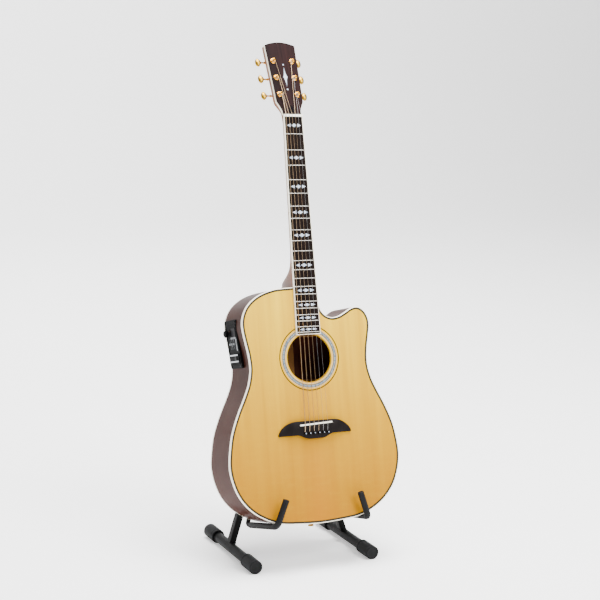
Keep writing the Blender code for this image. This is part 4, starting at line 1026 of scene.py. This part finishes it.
def arm(side, name, leg, body):
    """Painted rod out of the upright, and its rubber sleeve with a domed tip."""
    start = leg @ Vector((0, -0.009, -0.2856))
    corners = [start, leg @ Vector((0, -0.052, -0.2856)), leg @ Vector((0, -0.052, -0.3135)),
               GUITAR @ Vector((side * 0.106, 0.0035, 0.012)), GUITAR @ Vector((side * 0.086, 0.058, 0.023))]
    tip = corners[-1]
    back = (corners[-2] - tip).normalized()
    tube(f"{name}_arm_bar", rounded_route(corners[:-1] + [tip + back * 0.006], 0.012), 0.005, PAINT, body, (f"{name}_arm_rod",))
    run = (corners[3] - corners[2]).normalized()
    covered = [corners[2] + run * 0.016, corners[3], tip + back * 0.0018]
    route = rounded_route(covered, 0.012)
    radii = [0.90] + [1.0] * (len(route) - 1)
    route.insert(1, route[0] + run * 0.0008)
    radii.insert(1, 1.0)
    for k in range(1, 7):
        a = pi / 2 * k / 6
        route.append(tip + back * (0.0018 - 0.0018 * sin(a)))
        radii.append(0.73 + 0.27 * cos(a))
    tube(f"{name}_arm_rubber", route, 0.00675, RUBBER, body, (f"{name}_arm_sleeve",), radii, level=10)


def foot(name, body):
    """Round foot tube with a moulded cup on each end."""
    low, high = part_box(name + "_foot_tube")
    x, z, radius = (low[0] + high[0]) / 2, (low[2] + high[2]) / 2, (high[2] - low[2]) / 2
    along = place(x, 0, z) @ turn(-pi / 2, "X")
    piece(f"{name}_foot_bar", lathe([(0.0, low[1]), (radius, low[1]), (radius, high[1]), (0.0, high[1])], 48), along, PAINT,
          body, (name + "_foot_tube",))
    for end in ("front", "rear"):
        node = f"{name}_{end}_cap"
        low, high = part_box(node)
        wide = (high[0] - low[0]) / 2
        length = high[1] - low[1]
        outer = round_over([(0.0, length - 0.0006), (wide * 0.74, length - 0.0006), (wide * 0.76, length), (wide, length), (wide, 0.009), (wide - 0.0006, 0.0085), (wide - 0.0006, 0.0065),
                            (wide, 0.006), (wide, 0.0), (radius + 0.0002, 0.0), (radius + 0.0002, 0.006)], 0.0016, 6)
        bm = lathe(outer, 64)
        at = place(x, low[1] if end == "rear" else high[1], z) @ turn(-pi / 2 if end == "rear" else pi / 2, "X")
        for vertex in bm.verts:
            world = at @ vertex.co
            if world.z < 0:
                vertex.co = at.inverted() @ Vector((world.x, world.y, 0.0))
        piece(node + "_moulded", bm, at, RUBBER, body, (node,), sharp=50)


def upright(name, leg, length, body):
    """Rectangular tube with soft corners, an end plug, and weld beads where it meets foot and arm."""
    outline = rounded_box_outline(0.007, 0.010, 0.0024)
    bm = slab(outline, -length, 0.0118)
    piece(f"{name}_upright_tube", bm, leg, PAINT, body, (f"{name}_upright",), bevel=0.0004)
    plug = slab(rounded_box_outline(0.0061, 0.0091, 0.0018), 0.0112, 0.0121)
    piece(f"{name}_upright_plug", plug, leg, RUBBER, body, bevel=0.0003)
    bead = [Vector((0.0072 * cos(a) * (1 + 0.06 * cos(24 * a)), 0.0072 * sin(a) * (1 + 0.06 * cos(24 * a)), 0)) for a in
            (2 * pi * i / 72 for i in range(73))]
    arm_joint = leg @ place(0, -0.0104, -0.2856) @ turn(pi / 2, "X")
    tube(f"{name}_arm_weld", [arm_joint @ (p * 0.76) for p in bead], 0.0011, PAINT, body, level=3)
    low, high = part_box(name + "_foot_tube")
    axis_x, axis_z, radius = (low[0] + high[0]) / 2, (low[2] + high[2]) / 2, (high[2] - low[2]) / 2
    ring = []
    for p in outline + outline[:1]:
        start = leg @ Vector((p.x * 1.05, p.y * 1.05, -length))
        offset = min(abs(start.x - axis_x), radius * 0.98)
        rise = axis_z + sqrt(radius ** 2 - offset ** 2)
        down = (leg @ Vector((p.x * 1.05, p.y * 1.05, 0.0)) - start).normalized()
        ring.append(start + down * ((rise - start.z) / down.z + 0.0002))
    tube(f"{name}_foot_weld", ring, 0.0013, PAINT, body, level=3)


def apex():
    """Bracket, bolts with washers, and the grooved rest pad."""
    show(NODES["apex_bracket"], PAINT, "stand_head", bevel=0.0012)
    for name in ("left", "right"):
        pivot = Vector(JOINTS[name + "_leg_fold"]["pos_m"])
        at = place(*pivot) @ turn(-STAND_TILT, "X") @ turn(pi / 2, "X")
        seat = 0.0134
        hexagon = lathe(round_over([(0.0, 0.0172), (0.0057, 0.0172), (0.0057, seat + 0.0008), (0.0, seat + 0.0008)], 0.0005), 6)
        piece(f"{name}_bolt_head", hexagon, at, ZINC, "stand_head", (f"{name}_pivot_bolt",), sharp=30)
        nut = lathe(round_over([(0.0, -seat - 0.0008), (0.0057, -seat - 0.0008), (0.0057, -0.0178), (0.0032, -0.0186), (0.0, -0.0186)],
                               0.0005), 6)
        piece(f"{name}_lock_nut", nut, at, ZINC, "stand_head", sharp=30)
        for end, z in (("front", seat), ("rear", -seat - 0.0010)):
            washer = round_over([(0.0, z + 0.0010), (0.0068, z + 0.0010), (0.0068, z), (0.0, z)], 0.0003)
            piece(f"{name}_washer_{end}", lathe(washer, 36), at, ZINC, "stand_head")
    show(NODES["rest_pad"], RUBBER, "stand_head", bevel=0.0015)


def stand():
    foot_bodies = ((-1, "left", "left_leg"), (1, "right", "right_leg"))
    for side, name, body_name in foot_bodies:
        leg, length = leg_frame(side)
        upright(name, leg, length, body_name)
        arm(side, name, leg, body_name)
        foot(name, body_name)
    apex()


# ---------------------------------------------------------------- what stays as the CAD has it

def carried_over():
    # Raw-wood parts inside the body use a colour darkened as painted shade.
    inside = {"neck_block": RAW_PAINTED_SHADE, "tail_block": RAW_PAINTED_SHADE, "top_lining": RAW_PAINTED_SHADE, "back_lining": RAW_PAINTED_SHADE, "x_brace": RAW_PAINTED_SHADE,
              "back_brace": RAW_PAINTED_SHADE, "bridge_plate": MAPLE, "truss_rod": STEEL}
    for node, look in inside.items():
        show(NODES[node], look, "guitar")
    show(NODES["end_pin"], GOLD_SATIN, "guitar", bevel=0.0004)
    for i in range(6):
        show(NODES[f"string_{i + 1}"], BRONZE if i < 4 else STEEL, "guitar")


camera()
stage(FLOOR.material)
lights()
body()
rosette()
bridge()
neck()
headstock()
fingerboard()
tuners()
preamp()
stand()
carried_over()
